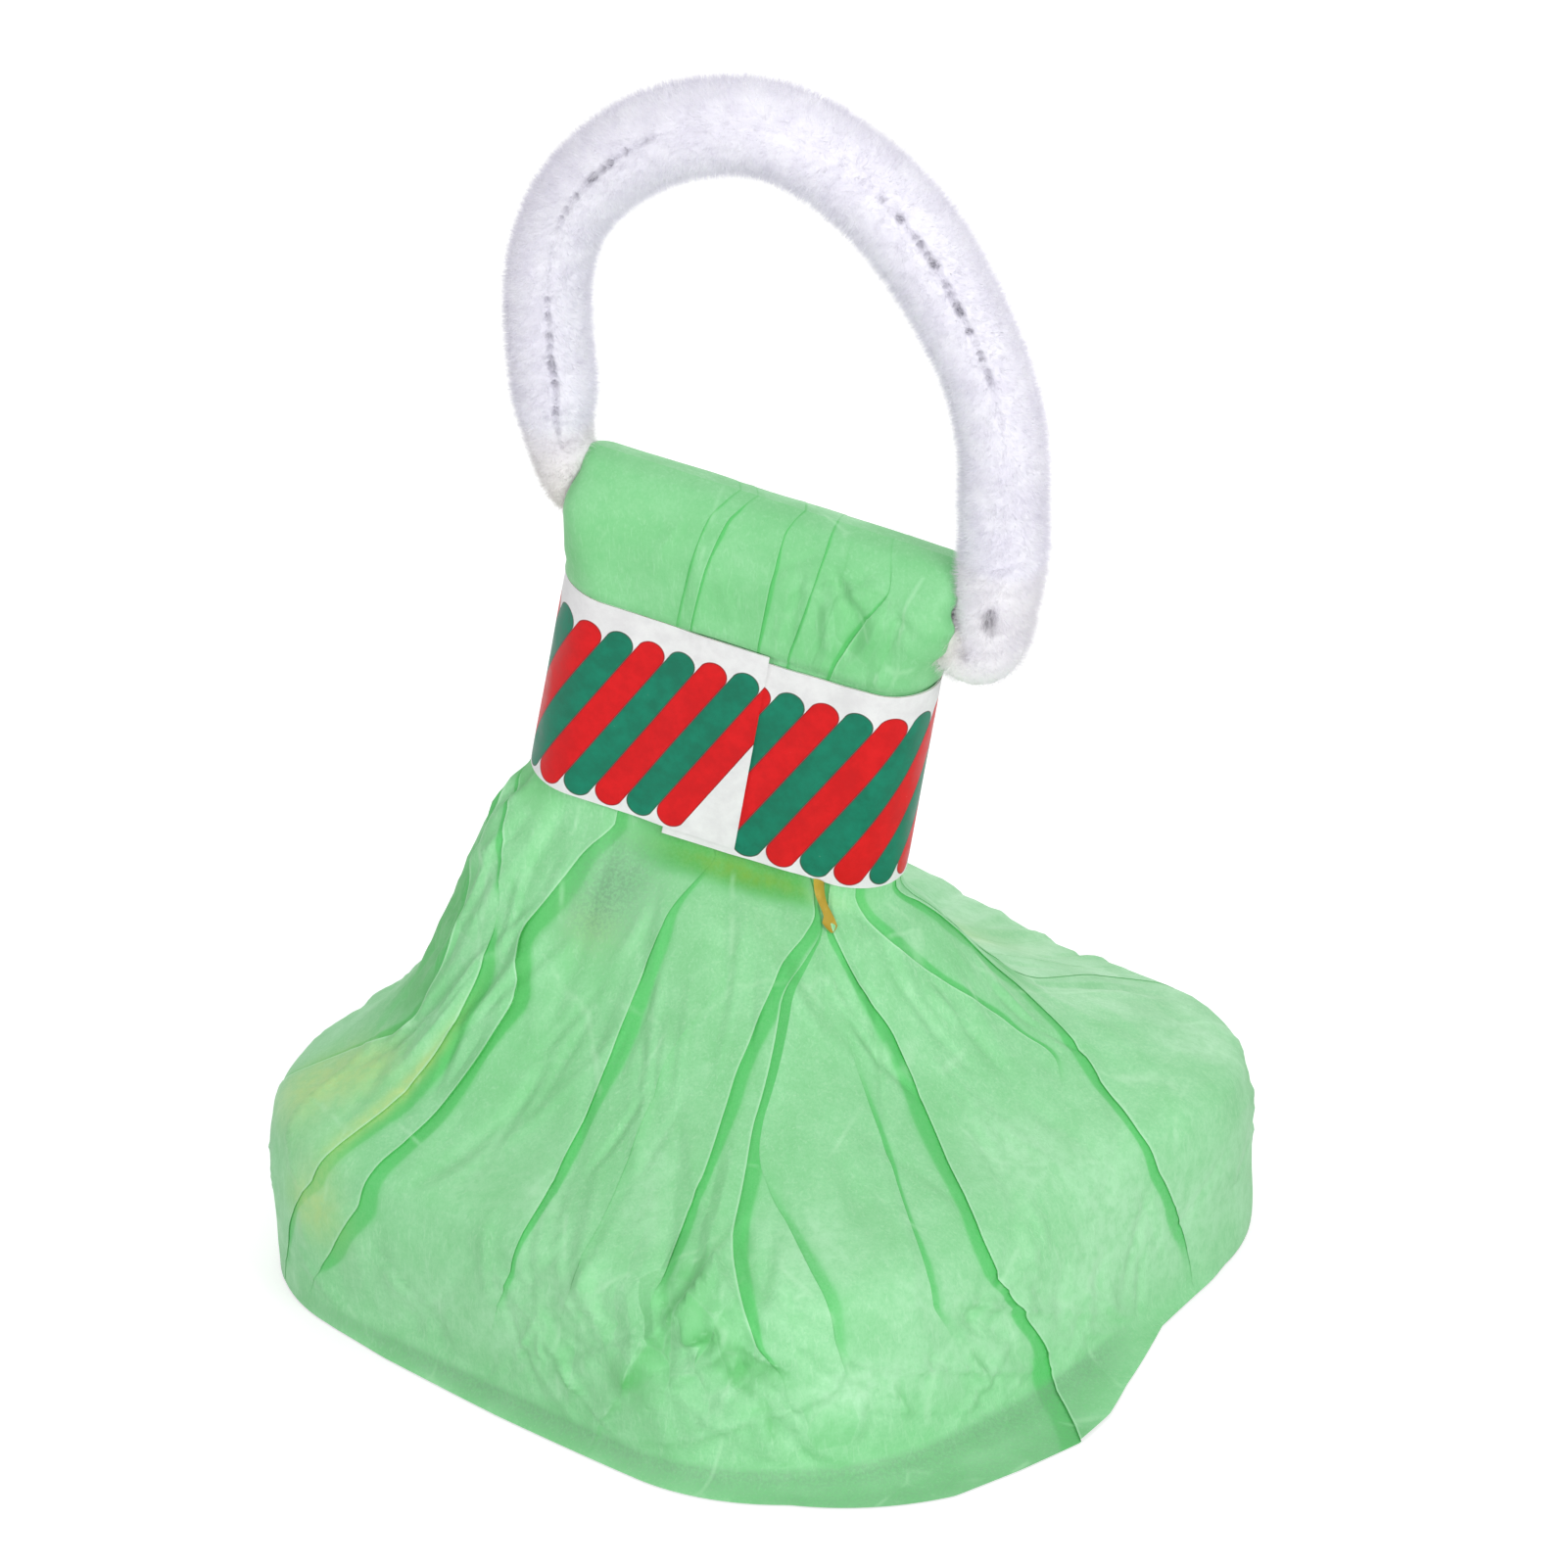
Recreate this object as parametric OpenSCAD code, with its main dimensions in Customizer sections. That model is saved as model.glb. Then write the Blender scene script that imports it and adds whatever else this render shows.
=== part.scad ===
// Throw streamer: coiled paper strips in a gathered tissue wrapper, with a
// chenille finger loop through the folded top. Units are millimetres.
// The floor is Z = 0, +Z is up, and the flat of the neck faces -Y.

/* [Streamers] */
// Width of one paper strip
strip_w = 5.0; // [3:0.1:6.5]
// Thickness of a strip where it runs up to the neck
strip_t = 0.25; // [0.15:0.05:0.4]
// Outer radius of one coil
coil_r = 11.2; // [10:0.1:14]
// Radius of the hole in a coil
coil_core = 2.6; // [1.5:0.1:4]
// Turns drawn in each coil
coil_turns = 5; // [3:1:8]
// Gap between the drawn turns
coil_air = 0.5; // [0.45:0.05:0.7]
// Gap between neighbouring coils
coil_gap = 0.3; // [0.1:0.05:1]
// Heading of the first coil
coil_yaw = 20; // [0:1:89]

/* [Wrapper] */
// Thickness of the tucked base
base_t = 0.5; // [0.3:0.1:2]
// Clearance between the coils and the skirt
skirt_gap = 0.6; // [0.4:0.1:2]
// Clearance above the coils
head_gap = 0.5; // [0.3:0.1:3]
// Thickness of the skirt
skirt_t = 0.5; // [0.3:0.1:1.5]
// Height of the cone from the shoulder to the neck
cone_h = 16.0; // [12:0.5:30]
// Depth of the gathers on the cone
gather = 0.55; // [0:0.05:0.9]
// Inward sag of the cone, as a share of its reach
cone_sag = 0.1; // [0:0.01:0.12]
// Width of the loose hem at its widest
hem_lip = 7.0; // [0:0.5:9]
// Heading of the loose hem
hem_yaw = 324; // [280:1:340]
// Half of the angle that the loose hem takes up
hem_spread = 42; // [30:1:60]

/* [Neck] */
// Offset of the neck along X
neck_x = -1.8; // [-4:0.1:4]
// Lean of the neck towards +X
neck_lean = 12; // [-15:1:15]
// Tissue beside the strips at each end of the neck
neck_side = 2.9; // [2:0.1:6]
// Thickness of the fold over the finger loop
fold_t = 0.6; // [0.4:0.1:2]
// Bare tissue between the label and the fold
bare_h = 1.5; // [1:0.1:8]

/* [Label] */
// Height of the paper band
label_h = 13.5; // [8:0.1:20]
// Height of the band above the foot of the neck
label_z = 1.5; // [1.2:0.1:4]
// Thickness of the band
label_t = 0.3; // [0.15:0.05:0.6]
// Length of the lap at the front
label_lap = 4.3; // [2:0.1:8]
// Drop of the lapped end below the band
label_drop = 0.6; // [0.2:0.1:0.8]

/* [Finger loop] */
// Radius of the pile of the chenille stem
pile_r = 3.0; // [2.4:0.1:3.6]
// Radius of the pile where the fold squeezes it
pile_squeezed = 2.0; // [1.6:0.1:2.4]
// Clearance round the pile in the fold
pocket_gap = 0.5; // [0.3:0.1:1]
// Height of the loop's centre line above the fold
loop_h = 28.4; // [22:0.1:40]
// Radius of one wire strand
wire_r = 0.22; // [0.15:0.01:0.35]

/* [Hidden] */
$fn = 48;
eps = 0.01;
streamers = 8;
per_layer = 4;
layers = streamers / per_layer;
ring_n = 40;
tints = ["HotPink", "RoyalBlue", "Gold", "MediumPurple", "Orange", "Tomato", "Gold", "SkyBlue"];

// Coils: four discs to a layer, side by side round a square
coil_steps = 18;
coil_dist = (coil_r + coil_gap / 2) * sqrt(2);
coil_band = (coil_r - coil_core - coil_turns * coil_air) / (coil_turns + 1);
pack_top = base_t + layers * strip_w;

// Strips: lanes one behind another, in three columns, inside a slot in the neck
hole_gap = 0.3;
lane_gap = 0.2;
lane = strip_t + lane_gap;
column = strip_w + 0.5;
slot_b = 2 * lane + 0.05;
slot_a = column + strip_w / 2 + 0.4;
slot_h = label_z + label_h - 1.4;

// Neck: flat, with a round pocket along its top fold
pocket_r = pile_squeezed + pocket_gap;
neck_a = slot_a + neck_side;
neck_b = pocket_r + fold_t;
shoulder_z = pack_top + head_gap;
neck_z = shoulder_z + cone_h;
foot_h = 0.4;
axis_h = label_z + label_h + bare_h + neck_b;
label_gap = 0.15;
wire_turns = 10;

// Centre line of the finger loop in its own plane, from the fold round to the fold:
// the pocket and the legs follow the neck and the pile, the bow follows the height
pocket_end = neck_a;
bend_x = neck_a + pile_squeezed + 0.8;
bend_z = 0.95 * pile_squeezed;
leg_x = neck_a + pile_r + 0.2;
leg_z = 1.7 * pile_r;
loop_pts = [
    [0.3, 0], [pocket_end / 2, 0], [pocket_end, 0],
    [bend_x, bend_z], [leg_x, leg_z], [leg_x - 0.6, leg_z + 3.6],
    [leg_x - 1.4, loop_h - 16.2], [leg_x - 3.1, loop_h - 12.2], [leg_x - 6.1, loop_h - 7.8],
    [leg_x - 9.9, loop_h - 3.8], [0.2, loop_h - 1.0], [-4.2, loop_h],
    [5.9 - leg_x, loop_h - 1.2], [2.3 - leg_x, loop_h - 4.0], [-leg_x - 0.3, loop_h - 8.0],
    [-leg_x - 1.5, loop_h - 12.8], [-leg_x - 1.3, leg_z + 5.3], [-leg_x - 0.5, leg_z + 0.7],
    [-bend_x - 0.1, bend_z], [-pocket_end, 0], [-pocket_end / 2, 0], [-0.3, 0]
];

function mix(a, b, t) = a + (b - a) * t;
function ease(t) = t * t * (3 - 2 * t);
function unit(v) = v / norm(v);

// Point of the neck's own frame, in the part's frame
function from_neck(p) = [
    neck_x + p.x * cos(neck_lean) + p.z * sin(neck_lean),
    p.y,
    neck_z - p.x * sin(neck_lean) + p.z * cos(neck_lean)
];

// Distance from the axis to the line wrapped round four discs of radius rho
function pack_reach(th, rho) =
    let(a = abs((th - coil_yaw + 405) % 90 - 45))
    let(edge = atan2(rho * sin(45), coil_dist + rho * cos(45)))
    a <= edge
        ? coil_dist * cos(a) + sqrt(rho * rho - pow(coil_dist * sin(a), 2))
        : (coil_dist * cos(45) + rho) / cos(45 - a);

// Point at the fraction u of the edge of a rounded rectangle, from (a, 0) anticlockwise
function flat_point(u, a, b, r) =
    let(sx = a - r, sy = b - r, q = PI * r / 2)
    let(quarter = sx + sy + q)
    let(k = floor(u * 4 + eps / 100), s = (u * 4 - k) * quarter)
    let(d = k % 2 == 0 ? s : quarter - s)
    let(g = d < sy ? 0 : (d < sy + q ? (d - sy) / q * 90 : 90))
    let(x = d < sy + q ? sx + r * cos(g) : sx - (d - sy - q))
    let(y = d < sy ? d : sy + r * sin(g))
    [(k == 1 || k == 2 ? -x : x), (k >= 2 ? -y : y)];

function ripple(i, depth) = (i % 2 == 0 ? depth : -depth);

// Width of the loose hem at the angle th
function lip(th) =
    hem_lip * ease(max(0, 1 - abs((th - hem_yaw + 540) % 360 - 180) / hem_spread));

// Ring round the coils, let out by a share of the loose hem
function skirt_ring(z, rho, depth, loose = 0) = [
    for (i = [0:ring_n - 1])
        let(th = 360 * i / ring_n)
        let(r = pack_reach(th, rho) + ripple(i, depth) + loose * lip(th))
        [r * cos(th), r * sin(th), z]
];

function neck_ring(h, a, b, r) = [
    for (i = [0:ring_n - 1])
        let(p = flat_point(i / ring_n, a, b, r))
        from_neck([p.x, p.y, h])
];

// Ring of the cone at the fraction t between two rings, gathered by depth and
// sagging above the fraction level
function cone_ring(low, high, t, depth, level) = [
    for (i = [0:ring_n - 1])
        let(sag = pow(sin(180 * max(t - level, 0) / (1 - level)), 2))
        let(f = pow(t, 0.88) + cone_sag * sag, th = 360 * i / ring_n, d = ripple(i, depth))
        [
            mix(low[i].x, high[i].x, f) + d * cos(th),
            mix(low[i].y, high[i].y, f) + d * sin(th),
            mix(low[i].z, high[i].z, t)
        ]
];

function flat(rings) = [for (ring = rings) each ring];

function wall_faces(first, rings, n, outward) = [
    for (i = [0:rings - 2], j = [0:n - 1])
        let(a = first + i * n + j, b = first + i * n + (j + 1) % n)
        let(out = j < n / 2
            ? [[a, a + n, b + n], [a, b + n, b]]
            : [[a, a + n, b], [a + n, b + n, b]])
        each outward ? out : [for (t = out) [t[0], t[2], t[1]]]
];

// Closed skin over rings that run anticlockwise as seen from the last one
module skin(rings) {
    n = len(rings[0]);
    last = (len(rings) - 1) * n;
    polyhedron(
        points = flat(rings),
        faces = concat(
            wall_faces(0, len(rings), n, true),
            [[for (j = [0:n - 1]) j]],
            [[for (j = [n - 1:-1:0]) last + j]]
        )
    );
}

module in_neck() {
    translate([neck_x, 0, neck_z])
        rotate([0, neck_lean, 0])
            children();
}

// Tissue from the hem to the fold, as one gathered skin with a hollow inside
module wrapper_skin() {
    rho_in = coil_r + skirt_gap;
    rho_out = rho_in + skirt_t;
    foot = neck_ring(foot_h, neck_a, neck_b, neck_b);
    rim = skirt_ring(shoulder_z + 1.6, rho_out - 1.9, 0);
    outer = concat(
        [
            skirt_ring(0, rho_out - 0.25, 0.05, 1),
            skirt_ring(0.9, rho_out, 0.1, 0.38),
            skirt_ring(shoulder_z - 2, rho_out, 0.1, 0.15),
            skirt_ring(shoulder_z + 0.3, rho_out - 0.5, 0.15),
            skirt_ring(shoulder_z + 1.6, rho_out - 1.9, 0.25)
        ],
        [for (t = [0.2, 0.4, 0.6, 0.8]) cone_ring(rim, foot, t, gather * (1.2 - 0.8 * t), 0.16)],
        [
            foot,
            neck_ring(label_z + label_h + bare_h / 2, neck_a, neck_b, neck_b),
            neck_ring(axis_h - neck_b, neck_a, neck_b, 0.6),
            neck_ring(axis_h, neck_a, neck_b, 0.6)
        ],
        [for (g = [30, 58, 80]) neck_ring(axis_h + neck_b * sin(g), neck_a, neck_b * cos(g), 0.4)]
    );
    slot = neck_ring(foot_h, slot_a, slot_b, 0.4);
    eave = skirt_ring(shoulder_z + 1.2, rho_in - 2.2, 0);
    inner = concat(
        [
            skirt_ring(0, rho_in, 0, 0.3),
            skirt_ring(shoulder_z - 1.4, rho_in, 0, 0.1),
            skirt_ring(shoulder_z + 0.1, rho_in - 0.8, 0),
            eave
        ],
        [for (t = [0.25, 0.34, 0.5, 0.75]) cone_ring(eave, slot, t, gather * (1 - 0.9 * t), 0.28)],
        [slot, neck_ring(slot_h, slot_a, slot_b, 0.4)]
    );
    n = ring_n;
    mo = len(outer);
    mi = len(inner);
    inner_top = (mo + mi - 1) * n;
    polyhedron(
        points = concat(flat(outer), flat(inner)),
        faces = concat(
            wall_faces(0, mo, n, true),
            wall_faces(mo * n, mi, n, false),
            [for (j = [0:n - 1]) each [
                [j, (j + 1) % n, mo * n + (j + 1) % n],
                [j, mo * n + (j + 1) % n, mo * n + j]
            ]],
            [[for (j = [n - 1:-1:0]) (mo - 1) * n + j]],
            [[for (j = [0:n - 1]) inner_top + j]]
        )
    );
}

module wrapper() {
    color("LightGreen")
        difference() {
            wrapper_skin();
            in_neck()
                translate([0, 0, axis_h])
                    rotate([0, 90, 0])
                        cylinder(r = pocket_r, h = 4 * neck_a, center = true);
        }
}

// Tucked tissue under the coils, which tears away with them
module wrapper_base() {
    side = coil_dist * sqrt(2);
    r = coil_r + skirt_gap / 2;
    color("MediumSeaGreen")
        rotate([0, 0, coil_yaw + 45])
            linear_extrude(height = base_t) {
                square([side + 2 * r, side], center = true);
                square([side, side + 2 * r], center = true);
                for (x = [-1, 1], y = [-1, 1])
                    translate([x * side / 2, y * side / 2])
                        circle(r = r);
            }
}

module stadium(a, b) {
    square([2 * (a - b), 2 * b], center = true);
    for (x = [-1, 1])
        translate([x * (a - b), 0])
            circle(r = b);
}

// Paper band with its end lapped over its start at the front
module label_band() {
    lap_to = 1.2;
    lap_from = lap_to - label_lap;
    a = neck_a + label_gap;
    b = neck_b + label_gap;
    color("WhiteSmoke")
        in_neck() {
            translate([0, 0, label_z])
                linear_extrude(height = label_h)
                    difference() {
                        stadium(a + label_t, b + label_t);
                        stadium(a, b);
                    }
            translate([lap_from, -b - 2 * label_t, label_z])
                cube([label_lap, label_t + eps, label_h]);
            translate([lap_from, -b - label_t, label_z - label_drop])
                cube([label_lap, label_t, label_drop + eps]);
        }
}

function spline(p, q, r, s, t) =
    0.5 * (2 * q + (r - p) * t + (2 * p - 5 * q + 4 * r - s) * t * t
        + (3 * q - p - 3 * r + s) * t * t * t);

function loop_path(steps) =
    let(m = len(loop_pts))
    concat(
        [
            for (i = [0:m - 2], k = [0:steps - 1])
                spline(
                    loop_pts[max(i - 1, 0)], loop_pts[i],
                    loop_pts[i + 1], loop_pts[min(i + 2, m - 1)], k / steps
                )
        ],
        [loop_pts[m - 1]]
    );

// Direction along a path at its point i
function along(path, i) = unit(path[min(i + 1, len(path) - 1)] - path[max(i - 1, 0)]);

// Radius of the pile, squeezed inside the fold and round outside it
function pile_at(p) =
    let(out = max(abs(p.x) - neck_a - 0.3, abs(p.y) - 1.5) / 3.5)
    mix(pile_squeezed, pile_r, ease(min(max(out, 0), 1)));

function loop_ring(path, i, shift, turn, r, sides) =
    let(t = along(path, i), side = [-t.y, t.x])
    let(c = path[i] + side * shift * cos(turn))
    [
        for (k = [0:sides - 1])
            let(g = -360 * k / sides)
            from_neck([
                c.x + side.x * r * cos(g),
                shift * sin(turn) + r * sin(g),
                axis_h + c.y + side.y * r * cos(g)
            ])
    ];

module loop_pile() {
    path = loop_path(3);
    color("White")
        skin([for (i = [0:len(path) - 1]) loop_ring(path, i, 0, 0, pile_at(path[i]), 10)]);
}

module wire(phase) {
    path = loop_path(4);
    m = len(path) - 1;
    color("Silver")
        skin([
            for (i = [0:m])
                loop_ring(path, i, wire_r + 0.04, phase + 360 * wire_turns * i / m, wire_r, 5)
        ]);
}

module loop_wire_a() {
    wire(0);
}

module loop_wire_b() {
    wire(180);
}

// Radius of the outer edge of a coil after the fraction f of its length
function coil_edge(f) = mix(coil_core + coil_band, coil_r, f);

function coil_outline(inset) = [
    for (i = [0:coil_turns * coil_steps])
        let(f = i / (coil_turns * coil_steps), g = 180 - 360 * coil_turns * (1 - f))
        (coil_edge(f) - inset) * [cos(g), sin(g)]
];

function reversed(list) = [for (i = [len(list) - 1:-1:0]) list[i]];

coil_least_gap = min([
    for (i = [coil_steps:coil_turns * coil_steps], j = [-2:2])
        let(k = min(max(i - coil_steps + j, 0), coil_turns * coil_steps))
        norm(coil_outline(coil_band)[i] - coil_outline(0)[k])
]);
echo(coil_least_gap = coil_least_gap);

module coil(k) {
    head = coil_yaw + 90 * (k % per_layer);
    z = base_t + strip_w * floor(k / per_layer);
    color(tints[k])
        rotate([0, 0, head])
            translate([coil_dist, 0, z])
                linear_extrude(height = strip_w)
                    polygon(concat(coil_outline(0), reversed(coil_outline(coil_band))));
}

// Cross-section of strip k: u runs from 0 on the coils to 1 at the foot of the neck
function strip_section(k, u, h) =
    let(q = k % per_layer, upper = floor(k / per_layer), head = coil_yaw + 90 * q)
    let(reach = coil_dist - coil_r - hole_gap - strip_t / 2 - (upper == 1 ? 0 : lane + 0.1))
    let(face = q < 2 ? 1 : -1, e = ease(u))
    let(low = [reach * cos(head), reach * sin(head)])
    let(y = lane * (upper == 1 ? (q % 2 == 0 ? 0.5 : 1.5) : (q % 2 == 0 ? -0.5 : 0.5)))
    let(x = q == 0 ? column : (q == 2 ? -column : 0))
    let(high = from_neck([x, face * y, h]))
    let(width_top = -face * [cos(neck_lean), 0, -sin(neck_lean)])
    let(w = unit(mix([-sin(head), cos(head), 0], width_top, e)) * strip_w / 2)
    let(v = unit(mix([cos(head), sin(head), 0], [0, face, 0], e)) * strip_t / 2)
    let(c = [mix(low.x, high.x, e), mix(low.y, high.y, e), mix(shoulder_z, high.z, u)])
    [c - w - v, c - w + v, c + w + v, c + w - v];

module strip(k) {
    drop = shoulder_z - base_t - strip_w * (floor(k / per_layer) + 0.25);
    foot = strip_section(k, 0, 1);
    color(tints[k])
        skin(concat(
            [[for (p = foot) p - [0, 0, drop]]],
            [for (u = [0:0.125:1]) strip_section(k, u, 1)],
            [strip_section(k, 1, slot_h - 0.5)]
        ));
}

wrapper();
wrapper_base();
label_band();
loop_pile();
loop_wire_a();
loop_wire_b();
for (k = [1:streamers])
    coil(k - 1);
for (k = [1:streamers])
    strip(k - 1);
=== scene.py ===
import math

import bpy
import numpy as np
from mathutils import Matrix


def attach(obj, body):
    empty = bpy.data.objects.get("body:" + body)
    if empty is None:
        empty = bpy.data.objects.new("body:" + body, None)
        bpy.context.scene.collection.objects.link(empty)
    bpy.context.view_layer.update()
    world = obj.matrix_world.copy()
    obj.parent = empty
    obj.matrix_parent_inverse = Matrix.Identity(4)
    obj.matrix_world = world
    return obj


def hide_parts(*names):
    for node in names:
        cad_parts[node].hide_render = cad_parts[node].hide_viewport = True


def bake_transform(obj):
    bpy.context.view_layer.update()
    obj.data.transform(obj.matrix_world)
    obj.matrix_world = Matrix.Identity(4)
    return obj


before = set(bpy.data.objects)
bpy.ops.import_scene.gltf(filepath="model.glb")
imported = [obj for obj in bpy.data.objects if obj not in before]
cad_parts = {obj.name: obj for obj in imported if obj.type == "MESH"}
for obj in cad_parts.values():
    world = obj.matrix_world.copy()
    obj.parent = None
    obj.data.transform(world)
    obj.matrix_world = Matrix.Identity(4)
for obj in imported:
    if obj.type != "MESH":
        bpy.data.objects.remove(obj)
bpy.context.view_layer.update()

MM = 0.001
SCENE = bpy.context.scene
RNG = np.random.default_rng(7)

# Sizes of the part, in millimetres
STRIP_W = 5.0
STRIP_T = 0.25
COIL_R = 11.2
COIL_CORE = 2.6
COIL_YAW = 20.0
COIL_DIST = (COIL_R + 0.15) * math.sqrt(2)
BASE_T = 0.5
SKIRT_RHO = COIL_R + 1.1
RIM_Z = 12.6
CONE_SAG = 0.64
SHOULDER_Z = 11.0
NECK_X = -1.8
NECK_Z = 27.0
NECK_LEAN = math.radians(12)
NECK_A = 11.3
NECK_B = 3.1
FOOT_H = 0.4
AXIS_H = 19.6
FOLD_RISE = 3.65
SLOT_H = 13.6
LABEL_Z = 1.5
LABEL_H = 13.5
PRINT_START = 5.21
PILE_R = 3.0
PILE_SQUEEZED = 2.0
WIRE_R = 0.22

# Camera: heading and height of the view, roll of the object in it, and its field
VIEW_AZ = math.radians(20)
VIEW_EL = math.radians(30)
VIEW_ROLL = math.radians(3)
FIELD = 91.5
AIM_RIGHT = 1.06
AIM_UP = 26.26
LENS = 1600.0
SENSOR = 36.0


def ease(low, high, x):
    """Smooth step of x from 0 at low to 1 at high."""
    t = np.clip((np.asarray(x, float) - low) / (high - low), 0, 1)
    return t * t * (3 - 2 * t)


def between(rise, full, fade, gone, x):
    """1 from full to fade, easing from 0 at rise and to 0 at gone."""
    return ease(rise, full, x) * (1 - ease(fade, gone, x))


def spline(t):
    """Weights of four neighbours in a smooth curve through the middle two."""
    return [
        0.5 * (-t + 2 * t**2 - t**3),
        0.5 * (2 - 5 * t**2 + 3 * t**3),
        0.5 * (t + 4 * t**2 - 3 * t**3),
        0.5 * (t**3 - t**2),
    ]


def turn_from(th, th_0):
    """Angle from th_0 to th in degrees, within half a turn."""
    return (th - th_0 + 180) % 360 - 180


def unit(v):
    """Vectors of length 1."""
    return v / np.maximum(np.linalg.norm(v, axis=-1, keepdims=True), 1e-9)


def from_neck(x, y, z):
    """Points of the leaning neck's own frame, in the part's frame."""
    x, y, z = np.broadcast_arrays(x, y, z)
    c, s = math.cos(NECK_LEAN), math.sin(NECK_LEAN)
    return np.stack([NECK_X + x * c + z * s, y, NECK_Z - x * s + z * c], -1)


def build(name, points, faces, material):
    """Smooth mesh object from points in millimetres and faces of equal size."""
    faces = np.asarray(faces, np.int32)
    count, sides = faces.shape
    mesh = bpy.data.meshes.new(name)
    mesh.vertices.add(len(points))
    mesh.vertices.foreach_set("co", (np.asarray(points, np.float32) * MM).ravel())
    mesh.loops.add(count * sides)
    mesh.loops.foreach_set("vertex_index", faces.ravel())
    mesh.polygons.add(count)
    mesh.polygons.foreach_set("loop_start", np.arange(count, dtype=np.int32) * sides)
    mesh.polygons.foreach_set("use_smooth", np.ones(count, bool))
    mesh.update(calc_edges=True)
    mesh.materials.append(material)
    obj = bpy.data.objects.new(name, mesh)
    SCENE.collection.objects.link(obj)
    return obj


def grid_faces(rows, cols, closed=False):
    """Quads of a grid numbered row by row; closed joins the last column to the first."""
    i, j = np.meshgrid(np.arange(rows - 1), np.arange(cols if closed else cols - 1), indexing="ij")
    k = (j + 1) % cols
    return np.stack([i * cols + j, i * cols + k, (i + 1) * cols + k, (i + 1) * cols + j], -1).reshape(-1, 4)


def bar_faces(count):
    """Quads of a bar of count sections with four corners each, closed at both ends."""
    last = 4 * count
    ends = [[3, 2, 1, 0], [last - 4, last - 3, last - 2, last - 1]]
    return np.concatenate([grid_faces(count, 4, closed=True), ends])


def place_object(name, data, axes, place):
    """Object of a camera or lamp, with its axes as columns and its place in metres."""
    obj = bpy.data.objects.new(name, data)
    rows = [[*row.tolist(), float(at)] for row, at in zip(axes, place)]
    obj.matrix_world = Matrix(rows + [[0, 0, 0, 1]])
    SCENE.collection.objects.link(obj)
    return obj


def paint(obj, name, values):
    """Value per point, for the material to read."""
    layer = obj.data.attributes.new(name, "FLOAT", "POINT")
    layer.data.foreach_set("value", np.asarray(values, np.float32).ravel())


def sharpen(obj, marked):
    """Keeps the edges between two marked points sharp."""
    edges = np.empty(len(obj.data.edges) * 2, np.int32)
    obj.data.edges.foreach_get("vertices", edges)
    edges = edges.reshape(-1, 2)
    layer = obj.data.attributes.new("sharp_edge", "BOOLEAN", "EDGE")
    layer.data.foreach_set("value", marked[edges[:, 0]] & marked[edges[:, 1]])


# Materials


def srgb(red, green, blue):
    """Colour of a shader socket from 8-bit screen values."""
    v = np.array([red, green, blue]) / 255
    v = np.where(v <= 0.04045, v / 12.92, ((v + 0.055) / 1.055) ** 2.4)
    return (*v.tolist(), 1.0)


class Shader:
    """Material with one Principled shader and short calls for its nodes."""

    def __init__(self, name, roughness, **sockets):
        self.material = bpy.data.materials.new(name)
        self.material.use_nodes = True
        self.tree = self.material.node_tree
        self.out = self.tree.nodes["Principled BSDF"]
        self.out.inputs["Roughness"].default_value = roughness
        for key, value in sockets.items():
            self.out.inputs[key.replace("_", " ")].default_value = value

    def put(self, kind, sockets, **settings):
        node = self.tree.nodes.new(kind)
        for key, value in settings.items():
            setattr(node, key, value)
        for key, value in sockets.items():
            if isinstance(value, bpy.types.NodeSocket):
                self.tree.links.new(value, node.inputs[key])
            else:
                node.inputs[key].default_value = value
        return node

    def place(self, scale=(1, 1, 1)):
        coords = self.put("ShaderNodeTexCoord", {}).outputs["Object"]
        return self.put("ShaderNodeMapping", {"Vector": coords, "Scale": scale}).outputs[0]

    def read(self, name):
        return self.put("ShaderNodeAttribute", {}, attribute_name=name).outputs["Fac"]

    def math(self, operation, a, b=0.0, c=0.0, clamp=False):
        sockets = {0: a, 1: b, 2: c}
        return self.put("ShaderNodeMath", sockets, operation=operation, use_clamp=clamp).outputs[0]

    def span(self, value, low, high, to_low=0.0, to_high=1.0):
        sockets = {0: value, 1: low, 2: high, 3: to_low, 4: to_high}
        return self.put("ShaderNodeMapRange", sockets, interpolation_type="SMOOTHSTEP").outputs[0]

    def noise(self, scale, detail=4.0, roughness=0.55, place=None, kind="FBM", distortion=0.0):
        sockets = {
            "Vector": place or self.place(),
            "Scale": scale,
            "Detail": detail,
            "Roughness": roughness,
            "Distortion": distortion,
        }
        return self.put("ShaderNodeTexNoise", sockets, noise_type=kind).outputs[0]

    def mix(self, factor, a, b, blend="MIX"):
        sockets = {0: factor, 6: a, 7: b}
        return self.put("ShaderNodeMix", sockets, data_type="RGBA", blend_type=blend).outputs[2]

    def tint(self, body, amount, share, colour):
        """Body with a colour laid over it, by an amount times a share."""
        return self.mix(self.math("MULTIPLY", amount, share), body, colour)

    def colour(self, value):
        self.tree.links.new(value, self.out.inputs["Base Color"])

    def rough(self, value):
        self.tree.links.new(value, self.out.inputs["Roughness"])

    def bump(self, height, depth, strength=1.0, over=None):
        sockets = {"Height": height, "Distance": depth * MM, "Strength": strength}
        if over:
            sockets["Normal"] = over
        normal = self.put("ShaderNodeBump", sockets).outputs[0]
        if self.out.inputs["Normal"].is_linked:
            self.tree.links.remove(self.out.inputs["Normal"].links[0])
        self.tree.links.new(normal, self.out.inputs["Normal"])
        return normal


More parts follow.
